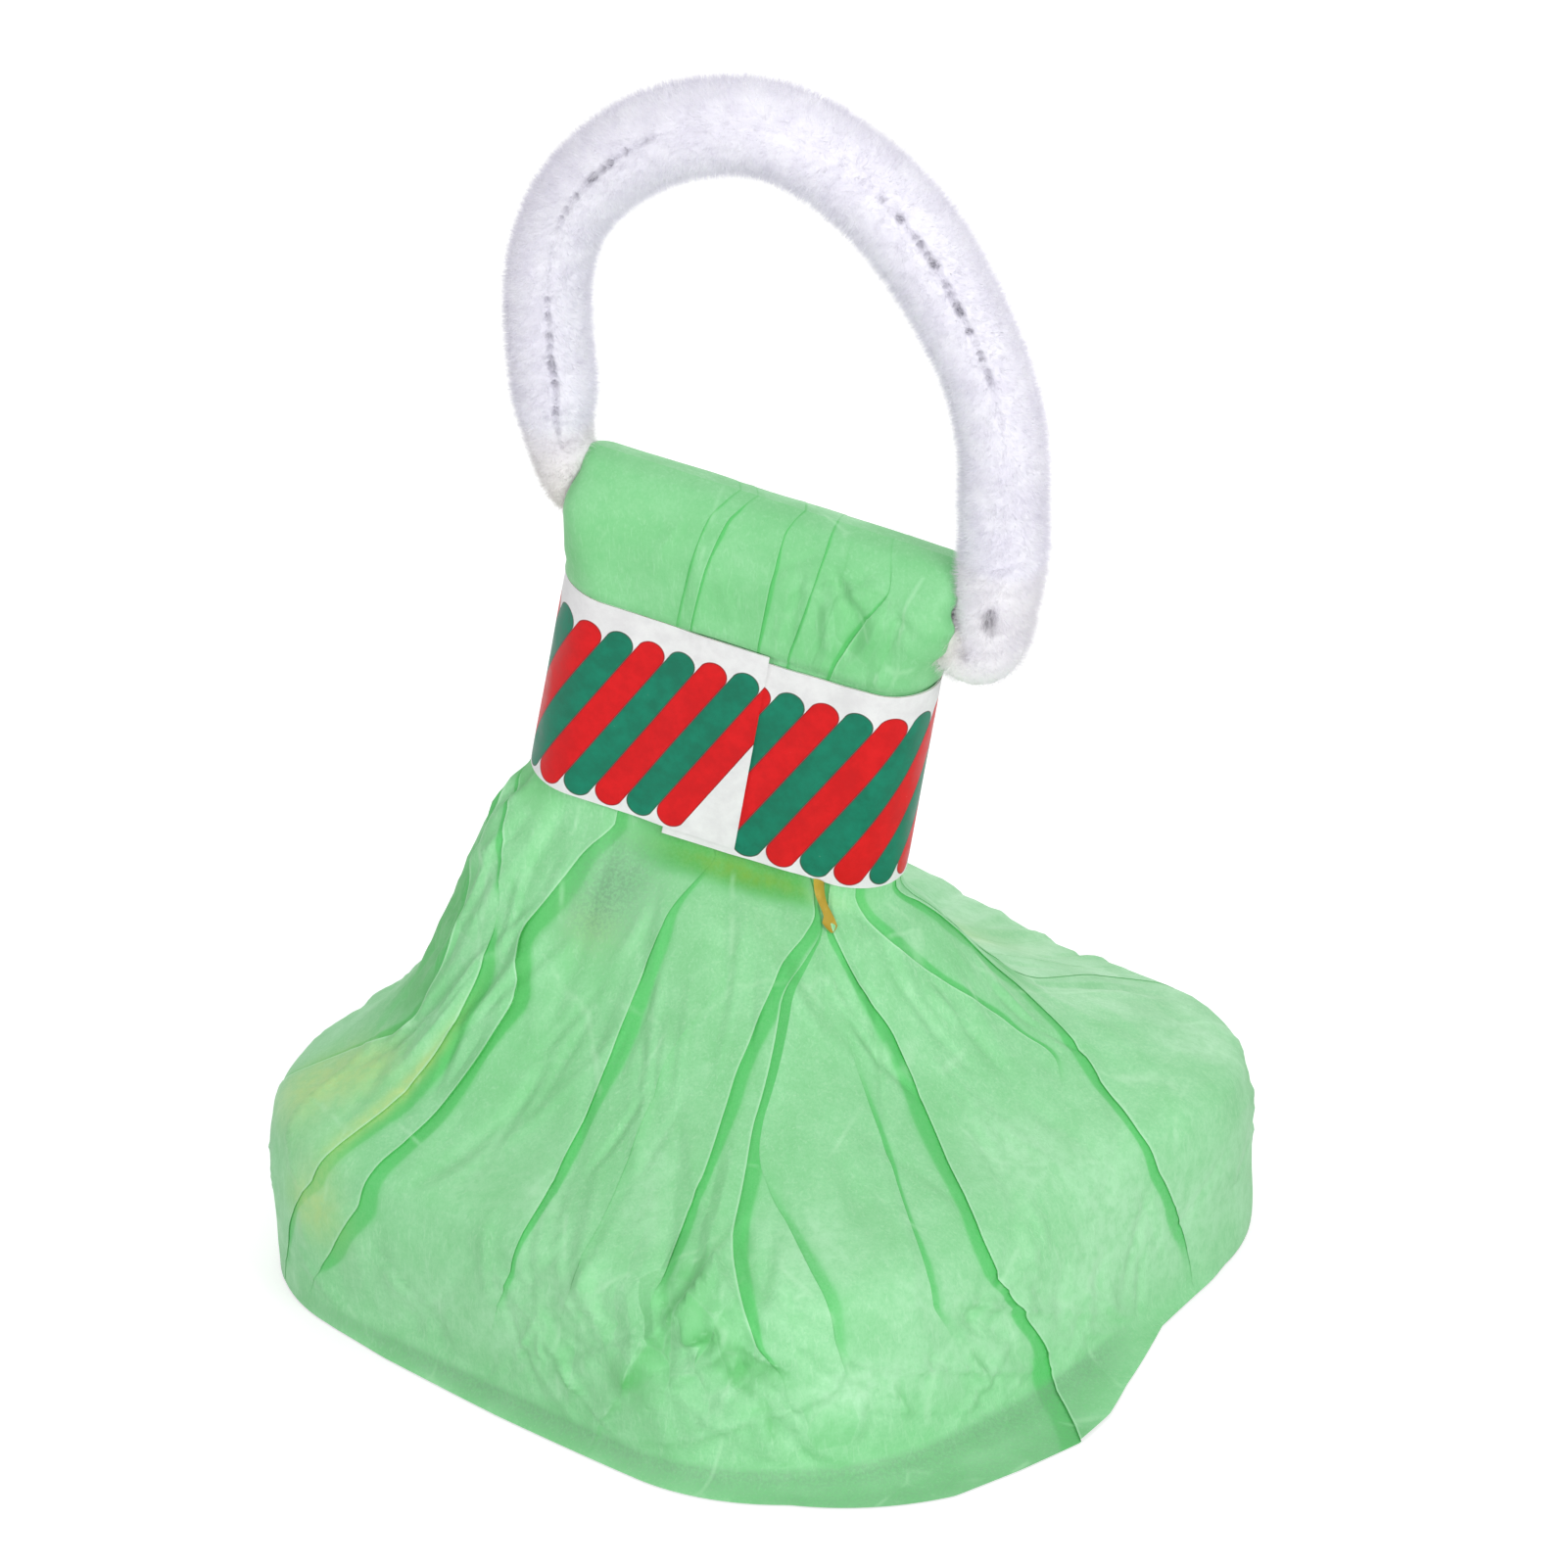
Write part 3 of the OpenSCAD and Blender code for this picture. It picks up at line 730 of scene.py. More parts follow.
# Spots of paint: paper that shows through, grey paper that shows through, painted shade, crushed tissue
# (painted shade on its facets and highlights on its creases) and painted sheen
WARM = [
    (203, 1.0, 7, 0.11, 0.8), (208, 1.12, 5, 0.08, 0.5), (215.5, 0.68, 4.5, 0.17, 0.75),
    (216.5, 1.1, 1.4, 0.2, 0.9), (290, 1.975, 30, 0.035, 0.8), (238, 1.69, 8, 0.07, 0.3),
    (60, 1.3, 9, 0.2, 0.5), (130, 0.8, 9, 0.2, 0.5),
]
GREY = [(242, 1.85, 14, 0.13, 0.85), (237, 1.71, 9, 0.09, 0.6)]
FLAP_SHADE = [(226, 1.45, 14, 0.35, 1.0)]
SHADED = [
    (240, 1.3, 12, 0.4, 0.2), (281, 0.92, 3.5, 0.06, 0.4), (282, 0.82, 3.5, 0.03, 0.4),
    (272, 0.5, 3, 0.1, 0.5), (286, 0.68, 3, 0.06, 0.5), (190, 1.45, 8, 0.2, 0.7),
    (200, 1.3, 5, 0.08, 0.6), (384, 1.5, 9, 0.1, 0.5),
]
CRUSHED = [
    (279, 0.75, 11, 0.3, 0.7), (262, 0.45, 8, 0.2, 0.4), (300, 0.35, 12, 0.15, 0.4),
    (196, 1.5, 14, 0.35, 0.6), (312, 2.95, 24, 0.22, 0.45), (372, 1.6, 16, 0.25, 0.4),
    (60, 2.95, 30, 0.25, 0.5), (150, 1.2, 30, 0.4, 0.4),
]
PAINTED_SHEEN_SPOTS = [
    (203, 0.92, 5, 0.05, 0.6), (252, 1.02, 5, 0.09, 0.5), (238, 1.0, 6, 0.12, 0.4),
    (272, 1.1, 4, 0.12, 0.4), (296, 1.02, 6, 0.12, 0.5), (309, 0.85, 5, 0.12, 0.4),
    (336, 1.02, 8, 0.12, 0.5), (345, 0.8, 7, 0.15, 0.4), (300, 0.55, 6, 0.1, 0.4),
    (262, 0.8, 7, 0.1, 0.4), (20, 1.0, 8, 0.12, 0.4), (75, 1.0, 8, 0.12, 0.5),
    (120, 1.0, 8, 0.12, 0.5), (165, 1.0, 8, 0.12, 0.4), (355, 0.5, 24, 0.35, 0.55),
    (312, 0.5, 22, 0.25, 0.35), (250, 0.5, 25, 0.25, 0.3),
]

# Mouths of the fold: depth of the end caps, and the funnel that the tissue makes round the stem
CAP_DEPTH = 0.6
FUNNEL_DEPTH = 3.0
FUNNEL_RIM = 2.35
FUNNEL_WALL = 1.75
FUNNEL_HOLE = 1.55


def open_mouths(points):
    """Lips of the tissue round the stem at both ends of the fold, and the points left open there."""
    c, s = math.cos(NECK_LEAN), math.sin(NECK_LEAN)
    dx, dz = points[..., 0] - NECK_X, points[..., 2] - NECK_Z
    x, z, y = dx * c - dz * s, dx * s + dz * c - AXIS_H, points[..., 1]
    far, turn = np.hypot(y, z), np.arctan2(z, y)
    end = ease(NECK_A - 1.8, NECK_A - 0.3, np.abs(x))
    right = 0.6 + 0.2 * np.sin(4 * turn + 1) + 0.12 * np.sin(9 * turn)
    left = 0.1 + 0.3 * ease(-1.0, 2.0, z)
    size = np.where(x > 0, right, left) * ease(4.3, 3.0, far)
    cap = np.abs(x) > NECK_A - CAP_DEPTH
    shift = np.sign(x) * (size * end - FUNNEL_DEPTH * ease(FUNNEL_RIM, FUNNEL_WALL, far) * cap)
    moved = points.copy()
    moved[..., 0] += shift * c
    moved[..., 2] -= shift * s
    return moved, cap & (far < FUNNEL_HOLE)


def fold_panels(s_rows):
    """Angle, height, painted shade beside the folds and painted highlight on their edges, of the panels
    between the folds, row by row.
    """
    angle, lift = fold_rows(s_rows)
    rows, count = angle.shape
    around = np.arange(count)
    step = spread(s_rows)[:, None]
    left_gap = angle - np.roll(angle, 1, 1) + np.where(around == 0, 360, 0)
    right_gap = np.roll(left_gap, -1, 1)
    lap = UNDERLAP * ease(0.0, 0.4, np.abs(lift)) * (1 - ease(3.0, 3.35, s_rows))[:, None] / step
    ends = angle + np.where(lift > 0, np.minimum(lap, 0.4 * right_gap), 0)
    starts = angle - np.where(lift < 0, np.minimum(lap, 0.4 * left_gap), 0)
    on_left, on_right = np.maximum(-lift, 0) * LIFT, np.maximum(lift, 0) * LIFT
    puff = RNG.uniform(-0.25, 0.2, count)

    u = np.linspace(0, 1, PANEL_COLS)
    full_turn = np.where(around == count - 1, 360, 0)
    next_end = np.roll(ends, -1, 1) + full_turn
    next_angle = np.roll(angle, -1, 1) + full_turn
    next_left = np.roll(on_left, -1, 1)
    th = starts[..., None] + (next_end - starts)[..., None] * u
    high = on_right[..., None] * (1 - u) ** 1.7 + next_left[..., None] * u**1.7
    wide = (next_end - starts)[..., None] * step[..., None]
    free = np.clip(wide / 10, 0, 1) * ease(0.1, 0.8, s_rows)[:, None, None]
    high = high + puff[None, :, None] * 4 * u * (1 - u) * free

    # Painted shade beside each fold, a deeper green that also stands for the doubled tissue under it, and a
    # painted highlight on its edge
    past = (th - angle[..., None]) * step[..., None]
    short = (next_angle[..., None] - th) * step[..., None]
    band = np.interp(s_rows, [0, 1, 1.6, 2, 2.7, 4], [1.0, 1.05, 1.15, 0.8, 0.3, 0.25])[:, None]
    phase = 2.3 * around
    up = s_rows[:, None]
    waver = 0.88 + 0.36 * np.sin(5.2 * up + phase) + 0.12 * np.sin(19 * up + 3 * phase)
    wide_band = band * waver * (0.6 + 0.5 * np.abs(lift))
    tone_left = np.clip(-lift / FULL_BAND, 0, 1)
    tone_right = np.clip(lift / FULL_BAND, 0, 1)
    sides = [
        (past, wide_band, tone_left, tone_right),
        (short, *(np.roll(layer, -1, 1) for layer in (wide_band, tone_right, tone_left))),
    ]
    deep, edge = np.zeros_like(th), np.zeros_like(th)
    for far, width, under, over in sides:
        dark = np.clip(1.5 - np.maximum(far, 0) / width[..., None], 0, 1)
        deep = np.maximum(deep, under[..., None] * dark)
        edge = np.maximum(edge, over[..., None] * np.clip(1 - np.abs(far) / EDGE_HIGHLIGHT_HALF_WIDTH, 0, 1))
    return [layer.reshape(rows, -1) for layer in (th, high, deep, edge)]


def tissue_tones(th, s, deep, kink_shade):
    """Paint of the wrapper beside the tones of its folds: paper and grey paper that show through, painted
    shade, painted sheen and crushed spots.
    """
    # Painted shade along the hem and under its tucked edge, as shade and as grey
    hem = np.exp(-((s - 0.08) / 0.04) ** 2) * between(205, 240, 335, 350, th)
    tucked = (1 - ease(0.03, 0.05, s)) * between(284, 292, 324, 330, th)
    under_band = between(1.88, 1.95, 2.1, 2.2, s)
    shade = under_band * (between(228, 262, 312, 322, th) + 0.5 * between(170, 185, 195, 215, th))
    shade = shade + 0.2 * hem + 0.25 * tucked + 0.28 * ease(2.7, 2.8, s) + 0.4 * kink_shade
    shade = shade + 0.75 * deep * patches(th, s, FLAP_SHADE) + patches(th, s, SHADED)
    return {
        "warm": patches(th, s, WARM),
        "grey": patches(th, s, GREY) + 0.7 * hem + 0.35 * tucked,
        "painted_sheen": patches(th, s, PAINTED_SHEEN_SPOTS),
        "shade": shade,
        "crushed": patches(th, s, CRUSHED),
    }


def make_wrapper(material):
    """Gathered tissue from the hem on the floor to the fold over the stem."""
    s_rows = np.concatenate([
        np.linspace(0, 1, 44),
        np.linspace(1.016, 2.0, 62),
        np.linspace(2.07, 2.7, 7),
        np.linspace(2.725, 3.0, 14),
        np.linspace(3.04, 4.0, 21),
    ])
    th, high, deep, edge = fold_panels(s_rows)
    s = np.repeat(s_rows[:, None], th.shape[1], 1)
    kink_high, kink_shade, kink_edge = kinks(th, s)
    small = creases(th, s) + kink_high
    roll = 0.18 * np.sin(np.radians(th * 5) + 3 * s) * np.sin(np.radians(th * 3) - 5 * s)
    calm = 1 - 0.9 * between(2.0, 2.07, 2.75, 2.8, s)
    high = (high + (small + roll) * between(0.0, 0.25, 3.2, 3.9, s)) * calm
    high = high + bumps(th, s, PUFFED) + 0.32 * between(2.752, 2.766, 3.0, 3.5, s)
    high = high * (1 - ease(3.3, 3.92, s))

    rows = zip(th, s_rows, high)
    points = np.stack([surface(a, at) + lean_out(a, at) * h[:, None] for a, at, h in rows])
    points[..., 2] = np.maximum(points[..., 2] + bumps(th, s, SETTLED), 0.06)
    points[-1, :, 1] = 0
    points, gap = open_mouths(points)
    faces = grid_faces(*th.shape, closed=True)
    faces = faces[~gap.ravel()[faces].all(1)]
    obj = build("tissue_wrapper", points.reshape(-1, 3), faces, material)
    # Painted shade beside the folds, painted highlights on their edges and kinks, and the other painted
    # layers
    layers = {"deep": deep, "edge": np.maximum(edge, kink_edge), **tissue_tones(th, s, deep, kink_shade)}
    for name, values in layers.items():
        paint(obj, name, np.clip(values, 0, 1))
    column = np.arange(th.size) % PANEL_COLS
    sharpen(obj, (column == 0) | (column == PANEL_COLS - 1))
    return obj


# Camera


def make_camera():
    """Camera at the photograph's view, rolled and aimed in the picture's own directions."""
    right = np.array([math.cos(VIEW_AZ), math.sin(VIEW_AZ), 0])
    up = np.array([
        -math.sin(VIEW_EL) * math.sin(VIEW_AZ), math.sin(VIEW_EL) * math.cos(VIEW_AZ), math.cos(VIEW_EL),
    ])
    back = np.cross(right, up)
    c, s = math.cos(VIEW_ROLL), math.sin(VIEW_ROLL)
    right, up = right * c - up * s, up * c + right * s
    data = bpy.data.cameras.new("photo_camera")
    data.lens = LENS
    data.sensor_width = SENSOR
    far = FIELD * LENS / SENSOR
    eye = (right * AIM_RIGHT + up * AIM_UP + back * far) * MM
    SCENE.camera = place_object("photo_camera", data, np.stack([right, up, back], 1), eye)


make_camera()
TISSUE = tissue_material("green_tissue")
wrapper = make_wrapper(TISSUE)
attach(wrapper, "wrapper")
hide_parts("wrapper")


# Printed band


def make_label(material):
    """Paper band round the neck, with its end lapped over its start."""
    start_x, end_x, drop, rows, cols = -2.4, 2.1, 0.55, 22, 240
    total = 4 * (NECK_A - NECK_B) + 2 * math.pi * (NECK_B + 0.36)
    turn = np.linspace(0.75 + start_x / total, 1.75 + end_x / total, cols)
    run = (turn - turn[0]) * total
    rise = np.linspace(0, LABEL_H, rows)
    lap = ease(run[-1] - 6.5, run[-1] - 4.2, run)
    fall = -drop * (1 - ease(0, 28, run))
    shells = []
    for thick in (0.11, 0.0):
        off = 0.12 + 0.15 * lap + thick
        edge = [flat_point(t, NECK_A + o, NECK_B + o, NECK_B + o) for t, o in zip(turn, off)]
        x, y = np.array(edge).T
        wave = 0.05 * np.sin(run * 1.9)[None, :] * np.sin(rise * 0.7 + 0.5)[:, None]
        wave *= between(2, 5, 44, 50, run)[None, :]
        pts = from_neck(x[None, :], y[None, :], LABEL_Z + rise[:, None] + fall[None, :])
        pts[..., 1] += wave * np.sign(y)[None, :]
        shells.append(pts.reshape(-1, 3))
    outer = grid_faces(rows, cols)
    size = rows * cols
    inner = outer[:, ::-1] + size
    low = np.arange(cols - 1)
    top = low + (rows - 1) * cols
    left = np.arange(rows - 1) * cols
    right = left + cols - 1
    edges = [(low, low + 1), (top + 1, top), (left + cols, left), (right, right + cols)]
    rim = [np.stack([a, a + size, b + size, b], -1) for a, b in edges]
    faces = np.concatenate([outer, inner, *rim])
    obj = build("printed_band", np.concatenate(shells), faces, material)
    ink = np.interp(run, [0, PRINT_START, 14, 27, run[-1]], [0.36, PRINT_START, 13.4, 27, run[-1]])
    uv = np.stack(np.broadcast_arrays(ink[None, :], rise[:, None]), -1).reshape(-1, 2)
    uv = np.concatenate([uv, uv - [0, 50]])
    layer = obj.data.uv_layers.new(name="print")
    layer.data.foreach_set("uv", uv[faces.ravel()].astype(np.float32).ravel())
    border = np.zeros((rows, cols), bool)
    border[[0, -1], :] = True
    border[:, [0, -1]] = True
    sharpen(obj, np.concatenate([border.ravel(), border.ravel()]))
    return obj


label = make_label(label_material())
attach(label, "wrapper")
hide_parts("label_band")


# Finger loop


# Points of the stem's centre line in the neck's plane, from the fold round to the fold
LOOP_POINTS = np.array([
    (0.3, 0), (NECK_A / 2, 0), (NECK_A, -0.6), (NECK_A + 2.2, -1.5), (NECK_A + 2.5, 1.8),
    (NECK_A + 2.55, 5.0), (NECK_A + 2.0, 8.2), (NECK_A + 1.35, 12.1), (11.1, 16.2), (8.6, 20.1),
    (5.4, 23.9), (1.6, 26.6), (-3.4, 28.2), (-7.8, 27.2), (-11.9, 24.3), (-15.0, 19.5),
    (-15.8, 14.6), (-15.1, 9.9), (-NECK_A - 3.05, 7.1), (-NECK_A - 2.6, 5.0),
    (-NECK_A - 1.9, 3.0), (-NECK_A, 0.3), (-NECK_A / 2, 0), (-0.3, 0),
])

# Where the wire shows, as (x, z, x radius, z radius) in that plane, and its bare end beside the neck
WIRE_SHOWN = [(7.2, 21.8, 4.5, 5.5), (-13, 22.5, 3, 3), (-15, 8.5, 2, 4)]
WIRE_END = (13.8, 1.6, 0.9, 0.6)
# Half the angle, in radians, that the slit and the bare end take up round the stem
SLIT_ANGLE = 0.065
END_ANGLE = 0.13


def loop_route(steps):
    """Centre line of the finger loop, and the length gone at each of its points."""
    last = len(LOOP_POINTS) - 1
    weights = spline(np.linspace(0, 1, steps, endpoint=False)[:, None])
    route = []
    for i in range(last):
        near = [LOOP_POINTS[min(max(i - 1 + j, 0), last)] for j in range(4)]
        route.append(sum(w * point for w, point in zip(weights, near)))
    route = np.concatenate(route + [LOOP_POINTS[-1:]])
    gone = np.concatenate([[0], np.cumsum(np.linalg.norm(np.diff(route, axis=0), axis=1))])
    return route, gone


ROUTE, GONE = loop_route(40)
HEADING = unit(np.gradient(ROUTE, axis=0))


def on_loop(where, aside, out):
    """Points at the lengths where along the loop, moved in its plane by aside and off it by out."""
    c = np.stack([np.interp(where, GONE, ROUTE[:, i]) for i in (0, 1)], -1)
    h = unit(np.stack([np.interp(where, GONE, HEADING[:, i]) for i in (0, 1)], -1))
    return from_neck(c[..., 0] - h[..., 1] * aside, out, AXIS_H + c[..., 1] + h[..., 0] * aside)


def pile_radius(where):
    """Radius of the pile along the loop, and the painted light that the tissue throws on it nearby."""
    x = np.interp(where, GONE, ROUTE[:, 0])
    z = np.interp(where, GONE, ROUTE[:, 1])
    clear = np.maximum(np.abs(x) - NECK_A + 0.2, np.abs(z) - 1.5)
    full = PILE_R * (0.98 + 0.14 * ease(16, 27, z) + 0.04 * ease(0, 8, x))
    grown = np.where(x > 0, ease(0, 0.8, clear), ease(0, 5.5, clear))
    # Painted light from the tissue, fading away from the neck
    painted_tissue_light = 0.5 * np.clip(1 - clear / 3.5, 0, 1)
    return PILE_SQUEEZED + (full - PILE_SQUEEZED) * grown, painted_tissue_light


def part_line(where):
    """Angle round the stem at which the nap parts and the wire shows."""
    x, z = (np.interp(where, GONE, HEADING[:, i]) for i in (0, 1))
    return np.arctan2(-0.81, 0.55 * x - 0.19 * z)


def near_spot(x, z, spot):
    """1 at a spot (x, z, x radius, z radius), fading to 0 away from it."""
    x_0, z_0, x_r, z_r = spot
    return np.exp(-(((x - x_0) / x_r) ** 2) - ((z - z_0) / z_r) ** 2)


def groove(where, angle):
    """Depth of the groove along the part lines, from 0 to 1."""
    off = (angle - part_line(where) + math.pi / 2) % math.pi - math.pi / 2
    x, z = (np.interp(where, GONE, ROUTE[:, i]) for i in (0, 1))
    shown = np.maximum.reduce([near_spot(x, z, spot) for spot in WIRE_SHOWN])
    waves = ((4.1, 0.0, 1.0), (9.7, 1.0, 0.8), (1.7, 2.0, 0.7), (16.9, 0.4, 0.6))
    speck = ease(0.35, 1.0, sum(high * np.sin(where * pace + start) for pace, start, high in waves))
    slit = np.exp(-((off / SLIT_ANGLE) ** 2)) * (0.03 + shown * (0.12 + 0.85 * speck))
    end = np.exp(-((off / END_ANGLE) ** 2)) * near_spot(x, z, WIRE_END)
    return np.maximum(slit, 0.9 * end)


def make_core(name, low, high, material):
    """Dense inner pile, grooved along the part lines down to the wire."""
    rows, sides = 640, 120
    where = np.repeat(np.linspace(low, high, rows)[:, None], sides, 1)
    angle = np.repeat(np.linspace(-math.pi, math.pi, sides, endpoint=False)[None, :], rows, 0)
    limit, painted_tissue_light = pile_radius(where)
    deep = groove(where, angle)
    r = limit * (0.78 - 0.69 * deep) + 0.03 * np.sin(where * 5.3 + 3 * angle) * np.sin(where * 2.1)
    points = on_loop(where, r * np.cos(angle), r * np.sin(angle))
    obj = build(name, points.reshape(-1, 3), grid_faces(rows, sides, closed=True), material)
    # Painted light from the tissue near the neck
    paint(obj, "painted_tissue_light", painted_tissue_light)
    # Painted shade at the bottom of the groove
    paint(obj, "root", 0.35 * deep**2)
    return obj


def make_pile(name, low, high, count, material):
    """Fibres of the stem between two lengths, as tapered blades over the dense pile."""
    where = RNG.uniform(low, high, count)
    angle = RNG.uniform(-math.pi, math.pi, count)
    limit, painted_tissue_light = pile_radius(where)
    deep = groove(where, angle)
    root_r = limit * (0.66 - 0.2 * deep)
    tip_r = limit * RNG.uniform(0.82, 1.0, count)
    stray = RNG.random(count) < 0.02
    tip_r = np.where(stray, tip_r * RNG.uniform(1.0, 1.06, count), tip_r)
    sweep = RNG.normal(0, 0.12, count)
    tilt = RNG.normal(0, 0.22, count)

    def blade(f):
        r = root_r + (tip_r - root_r) * f
        g = angle + sweep * f
        return on_loop(where + tilt * f, r * np.cos(g), r * np.sin(g))

    root, tip = blade(0.0), blade(1.0)
    side = unit(np.cross(unit(tip - root), unit(RNG.normal(size=(count, 3)))))
    wide = RNG.uniform(0.014, 0.026, count)[:, None]
    points = np.stack([root - side * wide, root + side * wide, tip], 1)
    obj = build(name, points.reshape(-1, 3), np.arange(count * 3).reshape(-1, 3), material)
    # Painted light from the tissue near the neck, and darker roots at random
    paint(obj, "painted_tissue_light", np.repeat(painted_tissue_light, 3))
    paint(obj, "root", np.repeat(RNG.uniform(0, 0.3, count), 3))
    return obj


def make_tube(name, where, aside, out, radius, material):
    """Tube through points given along, beside and off the loop."""
    sides = 6
    path = on_loop(where, aside, out)
    heading = unit(np.gradient(path, axis=0))
    first = unit(np.cross(heading, [0.0, 1.0, 0.0]))
    second = np.cross(heading, first)
    g = np.linspace(0, 2 * math.pi, sides, endpoint=False)
    ring = first[:, None] * np.cos(g)[:, None] + second[:, None] * np.sin(g)[:, None]
    points = path[:, None] + ring * radius
    faces = grid_faces(len(path), sides, closed=True)
    return build(name, points.reshape(-1, 3), faces, material)


BLADES = 110000
WIRE_PITCH = 2.4
WIRE_OFF = 0.24
PILE = pile_material()
WIRE = wire_material()
mouth = NECK_A - 2.2
whole = GONE[-1]
half = whole / 2
pile_core = make_core("chenille_core", mouth, whole - mouth, PILE)
pile_right = make_pile("chenille_right", mouth, half, BLADES, PILE)
pile_left = make_pile("chenille_left", half, whole - mouth, BLADES, PILE)
for piece in (pile_core, pile_right, pile_left):
    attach(piece, "finger_loop")
    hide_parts("loop_pile")
lengths = np.linspace(0.2, whole - 0.2, 1400)
for name, phase in (("loop_wire_a", 0.0), ("loop_wire_b", math.pi)):
    twist = phase + lengths * 2 * math.pi / WIRE_PITCH
    aside, out = WIRE_OFF * np.cos(twist), WIRE_OFF * np.sin(twist)
    strand = make_tube(name.replace("loop", "stem"), lengths, aside, out, WIRE_R, WIRE)
    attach(strand, "finger_loop")
    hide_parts(name)


# Paper coils and strips
TINTS = {
    "paper_pink": (236, 92, 150),
    "paper_blue": (54, 92, 196),
    "paper_yellow": (240, 200, 44),
    "paper_purple": (142, 96, 200),
    "paper_orange": (240, 150, 30),
    "paper_red": (222, 60, 48),
    "paper_light_blue": (110, 184, 226),
}
PAPER = {name: paper_material(name, *tint) for name, tint in TINTS.items()}
COIL_PAPERS = [
    "paper_pink", "paper_blue", "paper_yellow", "paper_purple",
    "paper_orange", "paper_red", "paper_yellow", "paper_light_blue",
]


def make_coil(k):
    """Coiled strip k, wound as one flat ribbon."""
    turns, steps, thick, margin = 26, 36, 0.14, 0.14
    n = turns * steps + 1
    f = np.linspace(0, 1, n)
    inner, outer = COIL_CORE + 0.15, COIL_R - 0.1
    r = inner + (outer - inner) * f + 0.06 * np.sin(f * 47 + k)
    g = math.pi - 2 * math.pi * turns * (1 - f)
    head = math.radians(COIL_YAW + 90 * (k % 4))
    c, s = math.cos(head), math.sin(head)
    low = BASE_T + STRIP_W * (k // 4) + margin + 0.1 * np.sin(f * 61 + 2 * k)
    tall = STRIP_W - 2 * margin
    ring = []
    for inset, rise in ((0, 0), (thick, 0), (thick, tall), (0, tall)):
        x, y = COIL_DIST + (r - inset) * np.cos(g), (r - inset) * np.sin(g)
        ring.append(np.stack([x * c - y * s, x * s + y * c, low + rise], -1))
    points = np.stack(ring, 1).reshape(-1, 3)
    obj = build(f"streamer_{k + 1}", points, bar_faces(n)[:, ::-1], PAPER[COIL_PAPERS[k]])
    sharpen(obj, np.ones(len(points), bool))
    return obj


def strip_section(k, u, h):
    """Centre, width and depth of strip k: u runs from 0 on the coils to 1 at the height h of the neck."""
    q, upper = k % 4, k // 4
    head = math.radians(COIL_YAW + 90 * q)
    lane = STRIP_T + 0.2
    inner = COIL_DIST - COIL_R - 0.3 - STRIP_T / 2 - (0 if upper else lane + 0.1)
    face = 1 if q < 2 else -1
    e = u * u * (3 - 2 * u)
    y = lane * (q % 2 + (0.5 if upper else -0.5))
    x = {0: STRIP_W + 0.5, 2: -STRIP_W - 0.5}.get(q, 0.0)
    high = from_neck(x, face * y, h)
    radial = np.array([math.cos(head), math.sin(head), 0])
    across = np.array([-math.sin(head), math.cos(head), 0])
    top = -face * np.array([math.cos(NECK_LEAN), 0, -math.sin(NECK_LEAN)])
    wide = unit(across * (1 - e) + top * e) * STRIP_W / 2
    deep = unit(radial * (1 - e) + np.array([0, face, 0]) * e)
    low = radial * inner
    centre = low + (high - low) * e
    centre[2] = SHOULDER_Z + (high[2] - SHOULDER_Z) * u
    return centre, wide, deep


def make_strip(k):
    """End of strip k, from its coil up into the neck."""
    sections = []
    drop = SHOULDER_Z - BASE_T - STRIP_W * (k // 4 + 0.25)
    centre, wide, deep = strip_section(k, 0.0, 1.0)
    for t in np.linspace(1, 0, 12, endpoint=False):
        sections.append((centre - [0, 0, drop * t], wide, deep))
    for u in np.linspace(0, 1, 50):
        sections.append(strip_section(k, u, 1.0))
    for h in np.linspace(1.4, SLOT_H - 0.5, 16):
        sections.append(strip_section(k, 1.0, h))
    points = []
    for i, (c, w, d) in enumerate(sections):
        ripple = 0.05 * math.sin(i * 0.9 + k)
        for side, out in ((-1, -0.05), (-1, 0.05), (1, 0.05), (1, -0.05)):
            points.append(c + side * w * 0.98 + d * (out + side * ripple))
    faces = bar_faces(len(sections))
    obj = build(f"streamer_end_{k + 1}", np.array(points), faces, PAPER[COIL_PAPERS[k]])
    sharpen(obj, np.ones(len(points), bool))
    return obj


for k, paper in enumerate(COIL_PAPERS):
    coil = make_coil(k)
    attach(coil, "streamer_pack")
    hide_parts(f"coil_{k + 1}")
    strip = make_strip(k)
    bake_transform(strip)
    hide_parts(f"strip_{k + 1}")


# Strip end that shows between two folds below the band


def make_peek(material):
    """Short end of paper, lying just outside the tissue."""
    rows, cols = 16, 7
    s_rows = np.linspace(2.05, 1.83, rows)
    marks = [1.83, 1.855, 1.89, 1.94, 2.05]
    mid = np.interp(s_rows, marks, [319.6, 320.2, 321.8, 322.4, 322.0])
    half_width = np.interp(s_rows, marks, [0.12, 0.6, 0.4, 0.34, 0.34]) / spread(s_rows)
    side = np.linspace(-1, 1, cols)
    points = []
    for s_row, m, h in zip(s_rows, mid, half_width):
        th = m + h * side
        out = 0.36 + 0.1 * side**2 + 0.04 * math.sin(40 * s_row)
        points.append(surface(th, s_row) + lean_out(th, s_row) * out[:, None])
    return build("streamer_peek", np.concatenate(points), grid_faces(rows, cols)[:, ::-1], material)


peek = make_peek(paper_material("paper_shaded", 174, 146, 32))
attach(peek, "wrapper")


# Tucked base


